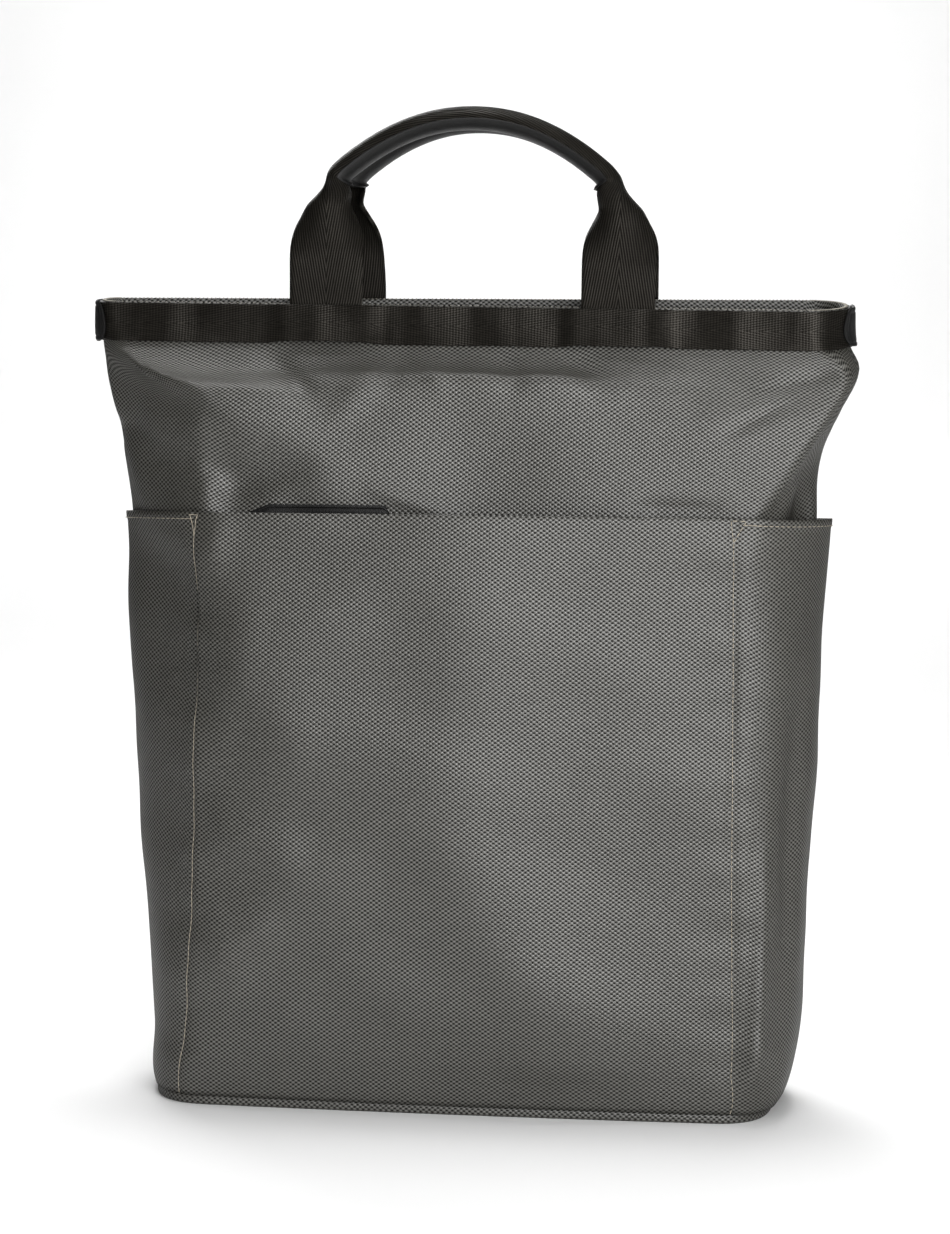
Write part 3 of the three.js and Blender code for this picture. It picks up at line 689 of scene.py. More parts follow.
class BackpackSizes(bpy.types.PropertyGroup):
    """Sizes of the bag's cloth, webbing, leather and stitches."""

    cloth: length_property("Cloth", "Thickness of the bag wall", 1.6)
    pocket_cloth: length_property("Pocket cloth", "Thickness of the pocket panel", 1.4)
    webbing: length_property("Webbing", "Thickness of bands and handles", 1.6)
    leather: length_property("Leather", "Thickness of grips, tabs and patch", 1.2)
    handle_width: length_property("Handle width", "Width of the flat handle webbing", 36.5)
    handle_rise: length_property("Handle rise", "Front handle's top above the rim", 96)
    weave_width: length_property("Weave width", "Distance between dark dots in a row", 2.88)
    weave_height: length_property("Weave height", "Distance between dark dots in a column", 2.15)
    stitch_pitch: length_property("Stitch pitch", "Distance between topstitches", 3.1)
    thread: length_property("Thread", "Thickness of the topstitch thread", 0.5)


class BackpackFinishes(bpy.types.PropertyGroup):
    """Colours of the bag's finishes."""

    cloth_light: colour_property("Light yarn", "Raised yarns of the cloth", (0.074, 0.072, 0.063))
    # A dark tone painted as shade in the gaps between the cloth's yarns
    cloth_gap_shade: colour_property("Dark yarn", "Sunken yarns of the cloth", (0.009, 0.0085, 0.0075))
    webbing_light: colour_property("Webbing ridge", "Ridges of the webbing", (0.013, 0.0118, 0.0098))
    # A darker tone painted as shade in the webbing's grooves
    webbing_groove_shade: colour_property("Webbing groove", "Grooves of the webbing", (0.006, 0.0055, 0.0047))
    leather_light: colour_property("Leather", "Leather's surface", (0.008, 0.0076, 0.0072))
    leather_dark: colour_property("Leather pores", "Leather's grain lines", (0.005, 0.005, 0.005))
    thread: colour_property("Thread", "Topstitch thread", (0.44, 0.39, 0.31))
    # A light yarn colour that paints the highlight along the rim's top edge
    rim_highlight_yarn: colour_property("Edge yarn", "Yarn over the rim's edge", (0.30, 0.28, 0.235))


def size_mm(name):
    """One of the bag's sizes in millimetres."""
    return getattr(bpy.context.scene.backpack_sizes, name) / MM


def math_node(tree, operation, *values):
    """The output of a Math node, whose inputs are outputs of other nodes or numbers."""
    node = tree.nodes.new("ShaderNodeMath")
    node.operation = operation
    for socket, value in zip(node.inputs, values):
        if isinstance(value, bpy.types.NodeSocket):
            tree.links.new(value, socket)
        else:
            socket.default_value = value
    return node.outputs[0]


def wave_node(tree, operation, way, length):
    """The sine or cosine of a way along the surface, with a wave length."""
    return math_node(tree, operation, math_node(tree, "MULTIPLY", way, 2 * math.pi / length))


def range_node(tree, factor, *bounds):
    """A factor brought into a range: the bounds are its least and most value before and after."""
    node = tree.nodes.new("ShaderNodeMapRange")
    for socket, value in zip(node.inputs[RANGE_INPUTS], bounds):
        socket.default_value = value
    tree.links.new(factor, node.inputs[0])
    return node.outputs[0]


def ramp_node(tree, factor, stops):
    """A colour ramp over a factor, from places and colours."""
    node = tree.nodes.new("ShaderNodeValToRGB")
    elements = node.color_ramp.elements
    while len(elements) < len(stops):
        elements.new(0.5)
    for element, (place, colour) in zip(elements, stops):
        element.position = place
        element.color = (*colour, 1)
    tree.links.new(factor, node.inputs[0])
    return node.outputs[0]


def noise_node(tree, vector, scale, detail=2.0):
    """The value of a noise texture, scaled per metre."""
    node = tree.nodes.new("ShaderNodeTexNoise")
    node.inputs["Scale"].default_value = scale
    node.inputs["Detail"].default_value = detail
    tree.links.new(vector, node.inputs["Vector"])
    return node.outputs["Fac"]


def stretched(tree, vector, scale):
    """A vector scaled along each axis."""
    node = tree.nodes.new("ShaderNodeMapping")
    node.inputs["Scale"].default_value = scale
    tree.links.new(vector, node.inputs["Vector"])
    return node.outputs[0]


def tinted(tree, colour, factor, low, high):
    """A colour multiplied by a grey that runs from low to high over the middle half of a factor."""
    grey = ramp_node(tree, factor, list(zip(TINT_STOPS, ((low,) * 3, (high,) * 3))))
    node = tree.nodes.new("ShaderNodeMix")
    node.data_type = "RGBA"
    node.blend_type = "MULTIPLY"
    node.inputs[0].default_value = 1
    for source, socket in zip((colour, grey), MIX_INPUTS):
        tree.links.new(source, node.inputs[socket])
    return node.outputs[MIX_OUTPUT]


def new_finish(name):
    """A material with its node tree and shader."""
    finish = bpy.data.materials.new(name)
    finish.use_nodes = True
    tree = finish.node_tree
    return finish, tree, tree.nodes["Principled BSDF"]


def bump_into(tree, shader, height, strength, distance):
    """A bump from a height into the shader's normal."""
    node = tree.nodes.new("ShaderNodeBump")
    node.inputs["Strength"].default_value = strength
    node.inputs["Distance"].default_value = distance
    tree.links.new(height, node.inputs["Height"])
    tree.links.new(node.outputs[0], shader.inputs["Normal"])


def surface_map(tree):
    """The piece's own map, whole and as its two lengths."""
    node = tree.nodes.new("ShaderNodeUVMap")
    node.uv_map = "cloth"
    parts = tree.nodes.new("ShaderNodeSeparateXYZ")
    tree.links.new(node.outputs[0], parts.inputs[0])
    return node.outputs[0], parts.outputs[0], parts.outputs[1]


def faded_gloss(tree, gloss):
    """A gloss that fades where the cloth turns away, because yarns then hide each other's highlights."""
    facing = tree.nodes.new("ShaderNodeLayerWeight").outputs["Facing"]
    return math_node(tree, "MULTIPLY", gloss, math_node(tree, "SUBTRACT", 1.0, facing))


def woven_cloth(sizes, colours):
    """A basket weave whose tones follow its relief. The product of a cosine across and a cosine up the cloth
    is high at sunken yarns and low at raised ones, which stand in a half-drop pattern. The sunken yarns are
    painted dark as shade in the gaps, and the most raised ones are painted bright as a highlight."""
    finish, tree, shader = new_finish("woven_cloth")
    vector, across, up = surface_map(tree)
    wandered = []
    for way, (scale, reach) in zip((across, up), CLOTH_WANDER):
        wander = math_node(tree, "MULTIPLY", noise_node(tree, vector, scale), reach)
        wandered.append(math_node(tree, "ADD", way, wander))
    rows = wave_node(tree, "COSINE", wandered[0], sizes.weave_width)
    columns = wave_node(tree, "COSINE", wandered[1], sizes.weave_height)
    checks = math_node(tree, "MULTIPLY", rows, columns)
    sunken = math_node(tree, "MULTIPLY_ADD", checks, 0.5, 0.5)
    light = np.array(colours.cloth_light)
    dark = np.array(colours.cloth_gap_shade)
    # The brightest tone is a painted highlight on raised yarns, and the darkest is painted shade in the
    # sunken gaps
    tones = (light * CLOTH_PAINTED_HIGHLIGHT, light, lerp(light, dark, 0.5), dark)
    colour = ramp_node(tree, sunken, list(zip(CLOTH_STOPS, tones)))
    streaks = noise_node(tree, stretched(tree, vector, CLOTH_STREAKS), 1.0)
    colour = tinted(tree, colour, streaks, *CLOTH_STREAK_TINT)
    colour = tinted(tree, colour, noise_node(tree, vector, CLOTH_CLOUDS), *CLOTH_CLOUD_TINT)
    tree.links.new(colour, shader.inputs["Base Color"])
    shader.inputs["Roughness"].default_value = 0.46
    shader.inputs["IOR"].default_value = 1.6
    raised = math_node(tree, "SUBTRACT", 1.0, sunken)
    gloss = faded_gloss(tree, range_node(tree, raised, *CLOTH_GLOSS))
    tree.links.new(gloss, shader.inputs["Specular IOR Level"])
    bump_into(tree, shader, raised, *CLOTH_BUMP)
    return finish


def herringbone_webbing(name, spacing, rib_pitch, rib_share, gloss, colours):
    """Satin herringbone webbing with a spacing and a pitch in millimetres: fine ridges lean away from the
    middle line, at a sine of the distance from it less a share of the length along, and a sine of that
    length makes ribs across. Slow noise along it makes the satin's patches of gloss. The grooves between
    the ridges are painted darker, as shade."""
    finish, tree, shader = new_finish(name)
    vector, across, along = surface_map(tree)
    lean = math_node(tree, "MULTIPLY", along, WEBBING_LEAN)
    slant = math_node(tree, "SUBTRACT", math_node(tree, "ABSOLUTE", across), lean)
    ridges = wave_node(tree, "SINE", slant, spacing * MM)
    ribs = wave_node(tree, "SINE", along, rib_pitch * MM)
    ridges = math_node(tree, "MULTIPLY", ridges, WEBBING_RELIEF - rib_share)
    ribs = math_node(tree, "MULTIPLY", ribs, rib_share)
    height = math_node(tree, "ADD", math_node(tree, "ADD", ridges, ribs), 0.5)
    # The grooves are painted darker as shade, and the ridges keep the webbing's own colour
    tones = (colours.webbing_groove_shade, colours.webbing_light)
    colour = ramp_node(tree, height, list(zip(WEBBING_STOPS, tones)))
    yarns = noise_node(tree, stretched(tree, vector, WEBBING_YARNS), 1.0)
    colour = tinted(tree, colour, yarns, *WEBBING_YARN_TINT)
    tree.links.new(colour, shader.inputs["Base Color"])
    shader.inputs["Roughness"].default_value = 0.36
    shader.inputs["Specular Tint"].default_value = WEBBING_SHINE
    slow = noise_node(tree, stretched(tree, vector, WEBBING_PATCHES), 1.0)
    patches = range_node(tree, slow, *WEBBING_PATCH_RANGE, *gloss)
    shine = math_node(tree, "MULTIPLY", patches, height)
    tree.links.new(math_node(tree, "MULTIPLY", shine, 2.0), shader.inputs["Specular IOR Level"])
    bump_into(tree, shader, height, *WEBBING_BUMP)
    return finish


def grained_leather(colours):
    """Fine-grained leather: cells of a Voronoi texture, broken up by noise, darken and sink the pores."""
    finish, tree, shader = new_finish("grained_leather")
    place = tree.nodes.new("ShaderNodeTexCoord").outputs["Object"]
    cells = tree.nodes.new("ShaderNodeTexVoronoi")
    cells.inputs["Scale"].default_value = LEATHER_CELLS
    tree.links.new(place, cells.inputs["Vector"])
    breaks = math_node(tree, "MULTIPLY", noise_node(tree, place, *LEATHER_BREAKS), 0.5)
    grain = math_node(tree, "ADD", cells.outputs["Distance"], breaks)
    tones = (colours.leather_light, colours.leather_dark)
    colour = ramp_node(tree, grain, list(zip(LEATHER_STOPS, tones)))
    colour = tinted(tree, colour, noise_node(tree, place, LEATHER_CLOUDS), *LEATHER_CLOUD_TINT)
    tree.links.new(colour, shader.inputs["Base Color"])
    rough = range_node(tree, noise_node(tree, place, LEATHER_WEAR), 0, 1, *LEATHER_ROUGHNESS)
    tree.links.new(rough, shader.inputs["Roughness"])
    shader.inputs["Specular IOR Level"].default_value = 0.26
    bump_into(tree, shader, math_node(tree, "SUBTRACT", 1.0, grain), *LEATHER_BUMP)
    return finish


def spun_thread(name, thread):
    """Thread of a colour, whose tone changes a little from stitch to stitch."""
    finish, tree, shader = new_finish(name)
    vector, _, _ = surface_map(tree)
    tones = (np.array(thread) * THREAD_DARK, thread)
    colour = ramp_node(tree, noise_node(tree, vector, THREAD_NOISE), list(zip(THREAD_STOPS, tones)))
    tree.links.new(colour, shader.inputs["Base Color"])
    shader.inputs["Roughness"].default_value = 0.6
    return finish


def finish_named(name):
    """A finish of the bag, made when it is first asked for."""
    sizes = bpy.context.scene.backpack_sizes
    colours = bpy.context.scene.backpack_finishes
    makers = {
        "woven_cloth": lambda: woven_cloth(sizes, colours),
        "grained_leather": lambda: grained_leather(colours),
        "spun_thread": lambda: spun_thread(name, colours.thread),
        "rim_highlight_yarn": lambda: spun_thread(name, colours.rim_highlight_yarn),
    }
    make = makers.get(name, lambda: herringbone_webbing(name, *WEBBINGS[name], colours))
    return bpy.data.materials.get(name) or make()


def declare_sheet(piece):
    """Returns the piece as it is."""
    return piece


def soften(piece, width):
    """A small bevel along the piece's edges."""
    bevel = piece.modifiers.new("edge", "BEVEL")
    bevel.width = width * MM
    bevel.segments = SOFT_SEGMENTS
    bevel.limit_method = "ANGLE"
    bevel.angle_limit = SOFT_FROM
    return piece


def closed_ring(points):
    """A ring's grid with its first column again at its end, for its map."""
    return np.concatenate([points, points[:1]])


def build_body():
    """The bag wall: one ring of cloth over turn and height, with the tucks of its sides."""
    turns = even_turns(-1, 1, BODY_COLUMNS + 1)[:-1, None]
    heights = np.linspace(WALL_FOOT, RIM_HEIGHT, BODY_ROWS)[None, :]
    points = body_points(turns, heights, 0)
    uv = cloth_map(closed_ring(points), BODY_COLUMNS // 2)
    piece = surface_piece("bag_body", points, uv, finish_named("woven_cloth"), size_mm("cloth"), True)
    settle(piece, "bag_fabric", "body_front", "body_back", "body_left", "body_right_low", "body_right_high")
    declare_sheet(piece)


def base_ring(turns, z, out):
    """The base outline moved out level, at a height."""
    facing = surface_frame(turns, 0 * turns)[2] * [1, 1, 0]
    points = base_points(turns, 0 * turns) + unit(facing) * out
    points[..., 2] = z
    return points


def build_base():
    """The base: rings of a flat panel whose edge turns up into a rolled hem, closed at top and bottom by a
    face."""
    turns = even_turns(-1, 1, BODY_COLUMNS + 1)[:-1]
    rings = [base_ring(turns, z, out) for out, z in BASE_PROFILE]
    points = np.stack(rings, axis=1)
    rows = len(rings)
    uv = cloth_map(closed_ring(points))
    quads = grid_quads(BODY_COLUMNS, rows, True)
    corner_uv = uv.reshape(-1, 2)[grid_quads(BODY_COLUMNS + 1, rows, False)].reshape(-1, 2)
    first = np.arange(BODY_COLUMNS) * rows
    caps = [first[::-1], first + rows - 1]
    cap_uv = [points.reshape(-1, 3)[cap][:, :2] * MM for cap in caps]
    piece = mesh_piece(
        "base_panel_cloth", points, quads.tolist() + [cap.tolist() for cap in caps],
        np.concatenate([corner_uv, *cap_uv]), finish_named("woven_cloth"),
    )
    settle(piece, "bag_fabric", "base_panel")
    flat = np.ptp(base_ring(turns, 0, HEM_WIDTH + HEM_HEIGHT)[:, :2], axis=0) * MM


def pocket_room(turn, z):
    """The pocket's distance from the body: a gap at seams and foot, more towards the middle of each
    mouth."""
    aside = np.abs(turn)
    rise = np.clip((z - WALL_FOOT) / (pocket_top(turn) - WALL_FOOT), 0, 1)
    is_front = aside < POCKET_SEAM_TURN
    front = np.cos(aside / POCKET_SEAM_TURN * (math.pi / 2))
    side = np.sin((aside - POCKET_SEAM_TURN) / (POCKET_END_TURN - POCKET_SEAM_TURN) * math.pi)
    side_room = np.where(turn < 0, SIDE_POCKET_ROOM["left"], SIDE_POCKET_ROOM["right"])
    room = np.where(is_front, FRONT_POCKET_ROOM * front, side_room * side)
    return GAP + np.maximum(room, 0) * rise**POCKET_FLARE


def seam_turn(side, z):
    """The turn of the left or right seam at heights."""
    return np.interp(z, SEAM_HEIGHTS, SEAM_TURNS[side])


def pocket_points(turn, z, out):
    """The pocket's outside, pinched in along its two seams, with puckers beside them and a doubled hem at
    the side mouths."""
    turn, z = spread_out(turn, z)
    seam = np.where(turn < 0, seam_turn("left", z), seam_turn("right", z))
    aside = (np.abs(turn) - np.abs(seam)) * GIRTH / 2
    pinch = -bell(aside, SEAM_WIDTH, SEAM_PINCH)
    long_wave = np.sin(z * 2 * math.pi / PUCKER_LONG + turn * PUCKER_DRIFT)
    short_wave = np.sin(z * 2 * math.pi / PUCKER_SHORT + PUCKER_PHASE)
    pucker = bell(aside, PUCKER_REACH, PUCKER_HEIGHT) * (long_wave * short_wave)
    below = pocket_top(turn) - z
    hem = HEM_FOLD * (1 - smoothstep(below, *HEM_STEP)) * smoothstep(aside, 0, HEM_FROM_SEAM)
    growing = smoothstep(z, *FOLDS_RISE)
    return folded_points(turn, z, pocket_room(turn, z) + (pinch + pucker * growing) + hem + out)


def build_pocket():
    """The pocket panel: a sheet round the front and both sides, from the base's hem to the pocket's
    edge."""
    cloth = size_mm("pocket_cloth")
    turns = even_turns(-POCKET_END_TURN, POCKET_END_TURN, POCKET_COLUMNS)[:, None]
    heights = lerp(WALL_FOOT, pocket_top(turns), np.linspace(0, 1, POCKET_ROWS)[None, :])
    points = pocket_points(turns, heights, cloth)
    uv = cloth_map(points, POCKET_COLUMNS // 2)
    piece = surface_piece("pocket_cloth", points, uv, finish_named("woven_cloth"), cloth)
    settle(piece, "bag_fabric", "pocket_panel")
    declare_sheet(piece)


def sew(turn_at, z_at, length, pitch, out):
    """Middles, ways along and ways out of the stitches on a line on the pocket, which is given by functions
    of a share from 0 to 1."""
    count = max(round(length / pitch), 2)
    shares = (np.arange(count) + 0.5) / count
    step = STITCH_LOOK / count
    places = pocket_points(turn_at(shares), z_at(shares), out)
    along = unit(pocket_points(turn_at(shares + step), z_at(shares + step), out)
                 - pocket_points(turn_at(shares - step), z_at(shares - step), out))
    facing = surface_frame(turn_at(shares), z_at(shares))[2]
    return places, along, unit(facing - along * (facing * along).sum(-1, keepdims=True))


def build_seam(side):
    """The topstitches of one pocket seam, which ends in a small triangle at the mouth, and of the hem
    beside it."""
    pitch = size_mm("stitch_pitch")
    thread = size_mm("thread")
    out = size_mm("pocket_cloth") + thread * STITCH_STAND
    top = float(pocket_top(np.array(seam_turn(side, POCKET_HEIGHT))))
    low = top - TRIANGLE_DROP
    high = top - TRIANGLE_TOP
    foot = float(seam_turn(side, low))
    half = TRIANGLE_WIDTH / GIRTH
    start = float(seam_turn(side, high)) + half * np.sign(foot)
    end = POCKET_END_TURN * np.sign(foot)
    hem_length = abs(end - start) * GIRTH / 2
    rows = [
        (lambda s: seam_turn(side, lerp(WALL_FOOT, low, s)), lambda s: lerp(WALL_FOOT, low, s), low),
        (lambda s: foot - half * s, lambda s: lerp(low, high, s), TRIANGLE_DROP),
        (lambda s: foot + half * s, lambda s: lerp(low, high, s), TRIANGLE_DROP),
        (lambda s: foot + lerp(-half, half, s), lambda s: high + 0 * s, TRIANGLE_WIDTH),
        (lambda s: lerp(start, end, s), lambda s: pocket_top(lerp(start, end, s)) - HEM_STITCH, hem_length),
    ]
    lines = [sew(*row, pitch, out) for row in rows]
    parts = [np.concatenate(column) for column in zip(*lines)]
    length = pitch * STITCH_SHARE[side]
    piece = stitch_piece(f"pocket_stitches_{side}", *parts, length, thread, finish_named("spun_thread"))
    settle(piece, "bag_fabric")


def build_patch():
    """The bare leather patch: a sheet on the body with a sloped left end, a round right corner and a
    pressed line along its upper edge, mostly behind the pocket."""
    leather = size_mm("leather")
    x = np.linspace(PATCH_LEFT, PATCH_RIGHT, PATCH_COLUMNS)[:, None]
    turns = turn_across(x, POCKET_HEIGHT, True)
    corner = np.clip(1 - (PATCH_RIGHT - x) / PATCH_CORNER, 0, 1)
    slope = np.clip(1 - (x - PATCH_LEFT) / PATCH_SLOPE, 0, 1)
    drop = PATCH_CORNER * (1 - np.sqrt(1 - corner**2) + slope)
    top = pocket_top(turns) + PATCH_SHOWS - drop
    rows = 1 - np.linspace(1, 0, PATCH_ROWS)[None, :] ** 2
    heights = lerp(pocket_top(turns) + PATCH_SHOWS - PATCH_HEIGHT, top, rows)
    below = top - heights
    line = bell(below - PATCH_LINE, PATCH_LINE_WIDTH, PATCH_LINE_DEPTH)
    pressed = -line - bell(below, PATCH_EDGE, PATCH_EDGE)
    points = body_points(turns, heights, GAP + leather + pressed)
    uv = cloth_map(points)
    piece = surface_piece("leather_patch_skin", points, uv, finish_named("grained_leather"), leather)
    soften(piece, SOFT_EDGE["patch"])
    settle(piece, "leather", "leather_patch")
    declare_sheet(piece)


def band_lift(turn, z, face):
    """The band's height over the body, which climbs smoothly over the two handle feet."""
    left, right, _ = HANDLE_FEET[face]
    half = size_mm("handle_width") / 2 + GAP
    x = base_points(turn, z)[..., 0]
    nearest = np.minimum(np.abs(x - left), np.abs(x - right))
    return GAP + (FOOT_GAP + size_mm("webbing")) * (1 - smoothstep(nearest, half, half + FOOT_SLOPE))


def build_band(face):
    """A webbing band round half the rim: a sheet over turn and height, with thin edges and a slack, wavy
    lie."""
    webbing = size_mm("webbing")
    middle = 0 if face == "front" else 1
    turns = np.linspace(middle - BAND_END_TURN, middle + BAND_END_TURN, BAND_COLUMNS)[:, None]
    shares = np.linspace(0, 1, BAND_ROWS)[None, :]
    heights = lerp(BAND_LOW, BAND_HIGH, shares)
    edge = np.minimum(shares, 1 - shares) * BAND_WIDTH
    thin = bell(edge, BAND_EDGE_WIDTH, BAND_EDGE)
    place = turns * GIRTH / 2
    plain = np.sin(place / SLACK_LONG + SLACK_PHASE) * np.sin(place / SLACK_SHORT)
    skewed = np.sin(place / SLACK_SKEWED + shares * SLACK_SKEW)
    loose = lerp(SLACK_AT_EDGE, 1, np.sin(shares * math.pi))
    slack = BAND_SLACK * (plain + SLACK_SKEWED_SHARE * skewed) * loose
    points = raised_points(turns, heights, band_lift(turns, heights, face) + webbing - thin + slack)
    uv = cloth_map(points, BAND_COLUMNS // 2)
    uv = np.stack([uv[..., 1] - BAND_WIDTH / 2 * MM, uv[..., 0]], axis=-1)
    piece = surface_piece(f"rim_band_{face}", points, uv, finish_named("rim_webbing"), webbing)
    soften(piece, SOFT_EDGE["band"])
    settle(piece, "webbing", f"band_{face}")
    declare_sheet(piece)


def build_edge():
    """The overcast edge of the rim: short stitches of yarn over the wall's thickness, all the way round,
    whose light colour paints the highlight along the rim's top edge.
    """
    cloth = size_mm("cloth")
    count = round(GIRTH / EDGE_PITCH)
    turns = even_turns(-1, 1, count + 1)[:-1]
    heights = np.full(count, RIM_HEIGHT)
    round_way, up_way, out = surface_frame(turns, heights)
    centres = base_points(turns, heights) - out * cloth / 2
    along = unit(out + round_way * EDGE_LEAN)
    length = cloth * EDGE_COVER
    # The yarn's light colour is a painted highlight along the rim's top edge
    piece = stitch_piece("rim_edge", centres, along, up_way, length, EDGE_YARN, finish_named("rim_highlight_yarn"))
    settle(piece, "bag_fabric")


def build_tab(side):
    """A D-shaped leather tab folded round the band's end, with a pressed line inside its edge."""
    leather = size_mm("leather")
    middle = -0.5 if side == "left" else 0.5
    low = BAND_LOW - TAB_OVER
    high = BAND_HIGH + TAB_OVER / 2
    shares = np.linspace(-1, 1, TAB_COLUMNS)[:, None]
    heights = np.linspace(low, high, TAB_ROWS)[None, :] + 0 * shares
    off = 2 * (heights - low) / (high - low) - 1
    reach = TAB_TURN[side] * lerp(TAB_ENDS, 1, np.sqrt(np.maximum(1 - off**2, 0)))
    turns = middle + shares * reach
    line = np.maximum(np.abs(shares), np.abs(off))
    thin = TAB_EDGE * smoothstep(line, TAB_EDGE_FROM, 1)
    pressed = -bell(line - TAB_LINE, TAB_LINE_WIDTH, TAB_LINE_DEPTH) - thin
    points = raised_points(turns, heights, GAP + size_mm("webbing") + TAB_GAP + leather + pressed)
    uv = cloth_map(points)
    piece = surface_piece(f"end_tab_skin_{side}", points, uv, finish_named("grained_leather"), leather)
    soften(piece, SOFT_EDGE["tab"])
    settle(piece, "leather", f"end_tab_{side}")
    declare_sheet(piece)


def handle_path(face):
    """The handle's path: up the band behind it, a leg to the neck, an arch that drops from its top by a
    power of the way from its middle, and down again. It leans to the bag's middle on the way up, and its
    necks are smoothed by means over neighbours."""
    left, right, drop = HANDLE_FEET[face]
    ends = ARCH_ENDS[face]
    rise = size_mm("handle_rise") - drop
    neck = rise - ARCH_DROP
    off = FOOT_GAP + size_mm("webbing") / 2
    sewn = np.linspace(RIM_HEIGHT - FOOT_DEPTH, RIM_HEIGHT, SEWN_STATIONS)
    free = np.linspace(0, neck, LEG_STATIONS)[1:-1]

    def leg(x, end):
        turn = turn_across(x, sewn, face == "front")
        foot = base_points(turn, sewn) + surface_frame(turn, sewn)[2] * off
        across = lerp(x, end, smoothstep(free, 0, neck))
        above = np.stack([across, 0 * free + foot[-1, 1], RIM_HEIGHT + free], axis=-1)
        return np.concatenate([foot, above])

    share = np.linspace(-1, 1, ARCH_STATIONS)
    arch_x = lerp(ends[0], ends[1], (share + 1) / 2)
    arch_z = RIM_HEIGHT + rise - ARCH_DROP * np.abs(share) ** ARCH_POWER
    left_leg = leg(left, ends[0])
    right_leg = leg(right, ends[1])[::-1]
    points = np.concatenate([left_leg, np.stack([arch_x, 0 * share, arch_z], axis=-1), right_leg])
    up = points[:, 2] - RIM_HEIGHT
    foot_y = np.where(points[:, 0] < (left + right) / 2, left_leg[-1, 1], right_leg[0, 1])
    sign = -1 if face == "front" else 1
    leaning = lerp(foot_y, sign * GRIP_Y, smoothstep(up, 0, rise))
    points[:, 1] = np.where(up > 0, leaning, points[:, 1])
    free_part = (up > NECK_SMOOTH_FROM)[:, None]
    for _ in range(NECK_PASSES):
        means = (points[:-2] + 2 * points[1:-1] + points[2:]) / 4
        points[1:-1] = np.where(free_part[1:-1], means, points[1:-1])
    return points


def handle_stations(face):
    """The path with the ways along the strip, out of it and across it at each point, and its curl. The
    strip faces outward at its feet and turns a quarter on the way up, so that its opening comes to face
    down."""
    left, right, _ = HANDLE_FEET[face]
    sign = -1 if face == "front" else 1
    points = handle_path(face)
    along = unit(np.gradient(points, axis=0))
    up = points[:, 2] - RIM_HEIGHT
    foot_x = np.where(points[:, 0] < (left + right) / 2, left, right)
    foot_turn = turn_across(foot_x, RIM_HEIGHT, face == "front")
    foot_out = surface_frame(foot_turn, RIM_HEIGHT - FOOT_DEPTH / 2 + 0 * up)[2]
    facing = lerp(foot_out, np.array([0, sign, 0]), smoothstep(up, 0, FACING_RISE)[:, None])
    facing = unit(facing - along * (along * facing).sum(-1, keepdims=True))
    outward = np.cross(along, facing) * sign
    twist = smoothstep(up, *TWIST_RISES)[:, None] * math.pi / 2
    out = facing * np.cos(twist) + outward * np.sin(twist)
    curl = GRIP_CURL * smoothstep(up, *CURL_RISES)
    return points, along, out, np.cross(along, out), curl


def curled_points(stations, shares, off):
    """A curled section at each station: an arc as long as the strip is wide, flattened as it closes. Shares
    run across it from -1 to 1."""
    points, _, out, across, curl = stations
    bent = np.maximum(curl, LEAST_CURL)
    radius = size_mm("handle_width") / bent
    angle = shares * bent / 2
    flatness = lerp(1, GRIP_FLATNESS, curl / GRIP_CURL)
    deep = ((radius + off) * np.cos(angle) - radius) * flatness
    wide = (radius + off) * np.sin(angle)
    return points + out * deep[..., None] + across * wide[..., None]


def build_handle(face):
    """A handle: a webbing strip flat at its feet, rolled into a grip at its top."""
    webbing = size_mm("webbing")
    stations = handle_stations(face)
    shares = np.linspace(-1, 1, HANDLE_COLUMNS)[:, None]
    thin = bell(1 - np.abs(shares), HANDLE_EDGE_WIDTH, HANDLE_EDGE)
    points = curled_points(stations, shares, webbing / 2 - thin)
    along = path_lengths(stations[0])[None, :] + 0 * shares
    across = shares * size_mm("handle_width") / 2 + 0 * along
    uv = np.stack([across, along], axis=-1) * MM
    piece = surface_piece(f"handle_webbing_{face}", points, uv, finish_named("handle_webbing"), webbing)
    soften(piece, SOFT_EDGE["handle"])
    settle(piece, "webbing", f"handle_{face}")
    declare_sheet(piece)


def build_grip(face):
    """A leather strip with rounded ends round the underside of the rolled grip."""
    leather = size_mm("leather")
    stations = handle_stations(face)
    inside = stations[0][:, 2] - RIM_HEIGHT > GRIP_FROM_RISE
    stations = [part[inside] for part in stations]
    lengths = path_lengths(stations[0])
    from_end = np.minimum(lengths, lengths[-1] - lengths)
    rounding = np.sqrt(1 - np.clip(1 - from_end / GRIP_END, 0, 1) ** 2)
    wrap = GRIP_HALF_WRAP * lerp(GRIP_TIP, 1, rounding)
    shares = np.linspace(-1, 1, GRIP_COLUMNS)[:, None]
    angles = math.pi + shares * wrap[None, :]
    out = size_mm("webbing") / 2 + GRIP_GAP + leather
    points = curled_points(stations, 2 * angles / stations[4], out)
    uv = cloth_map(points)
    piece = surface_piece(f"grip_skin_{face}", points, uv, finish_named("grained_leather"), leather)
    soften(piece, SOFT_EDGE["grip"])
    settle(piece, "leather", f"grip_{face}")
    declare_sheet(piece)


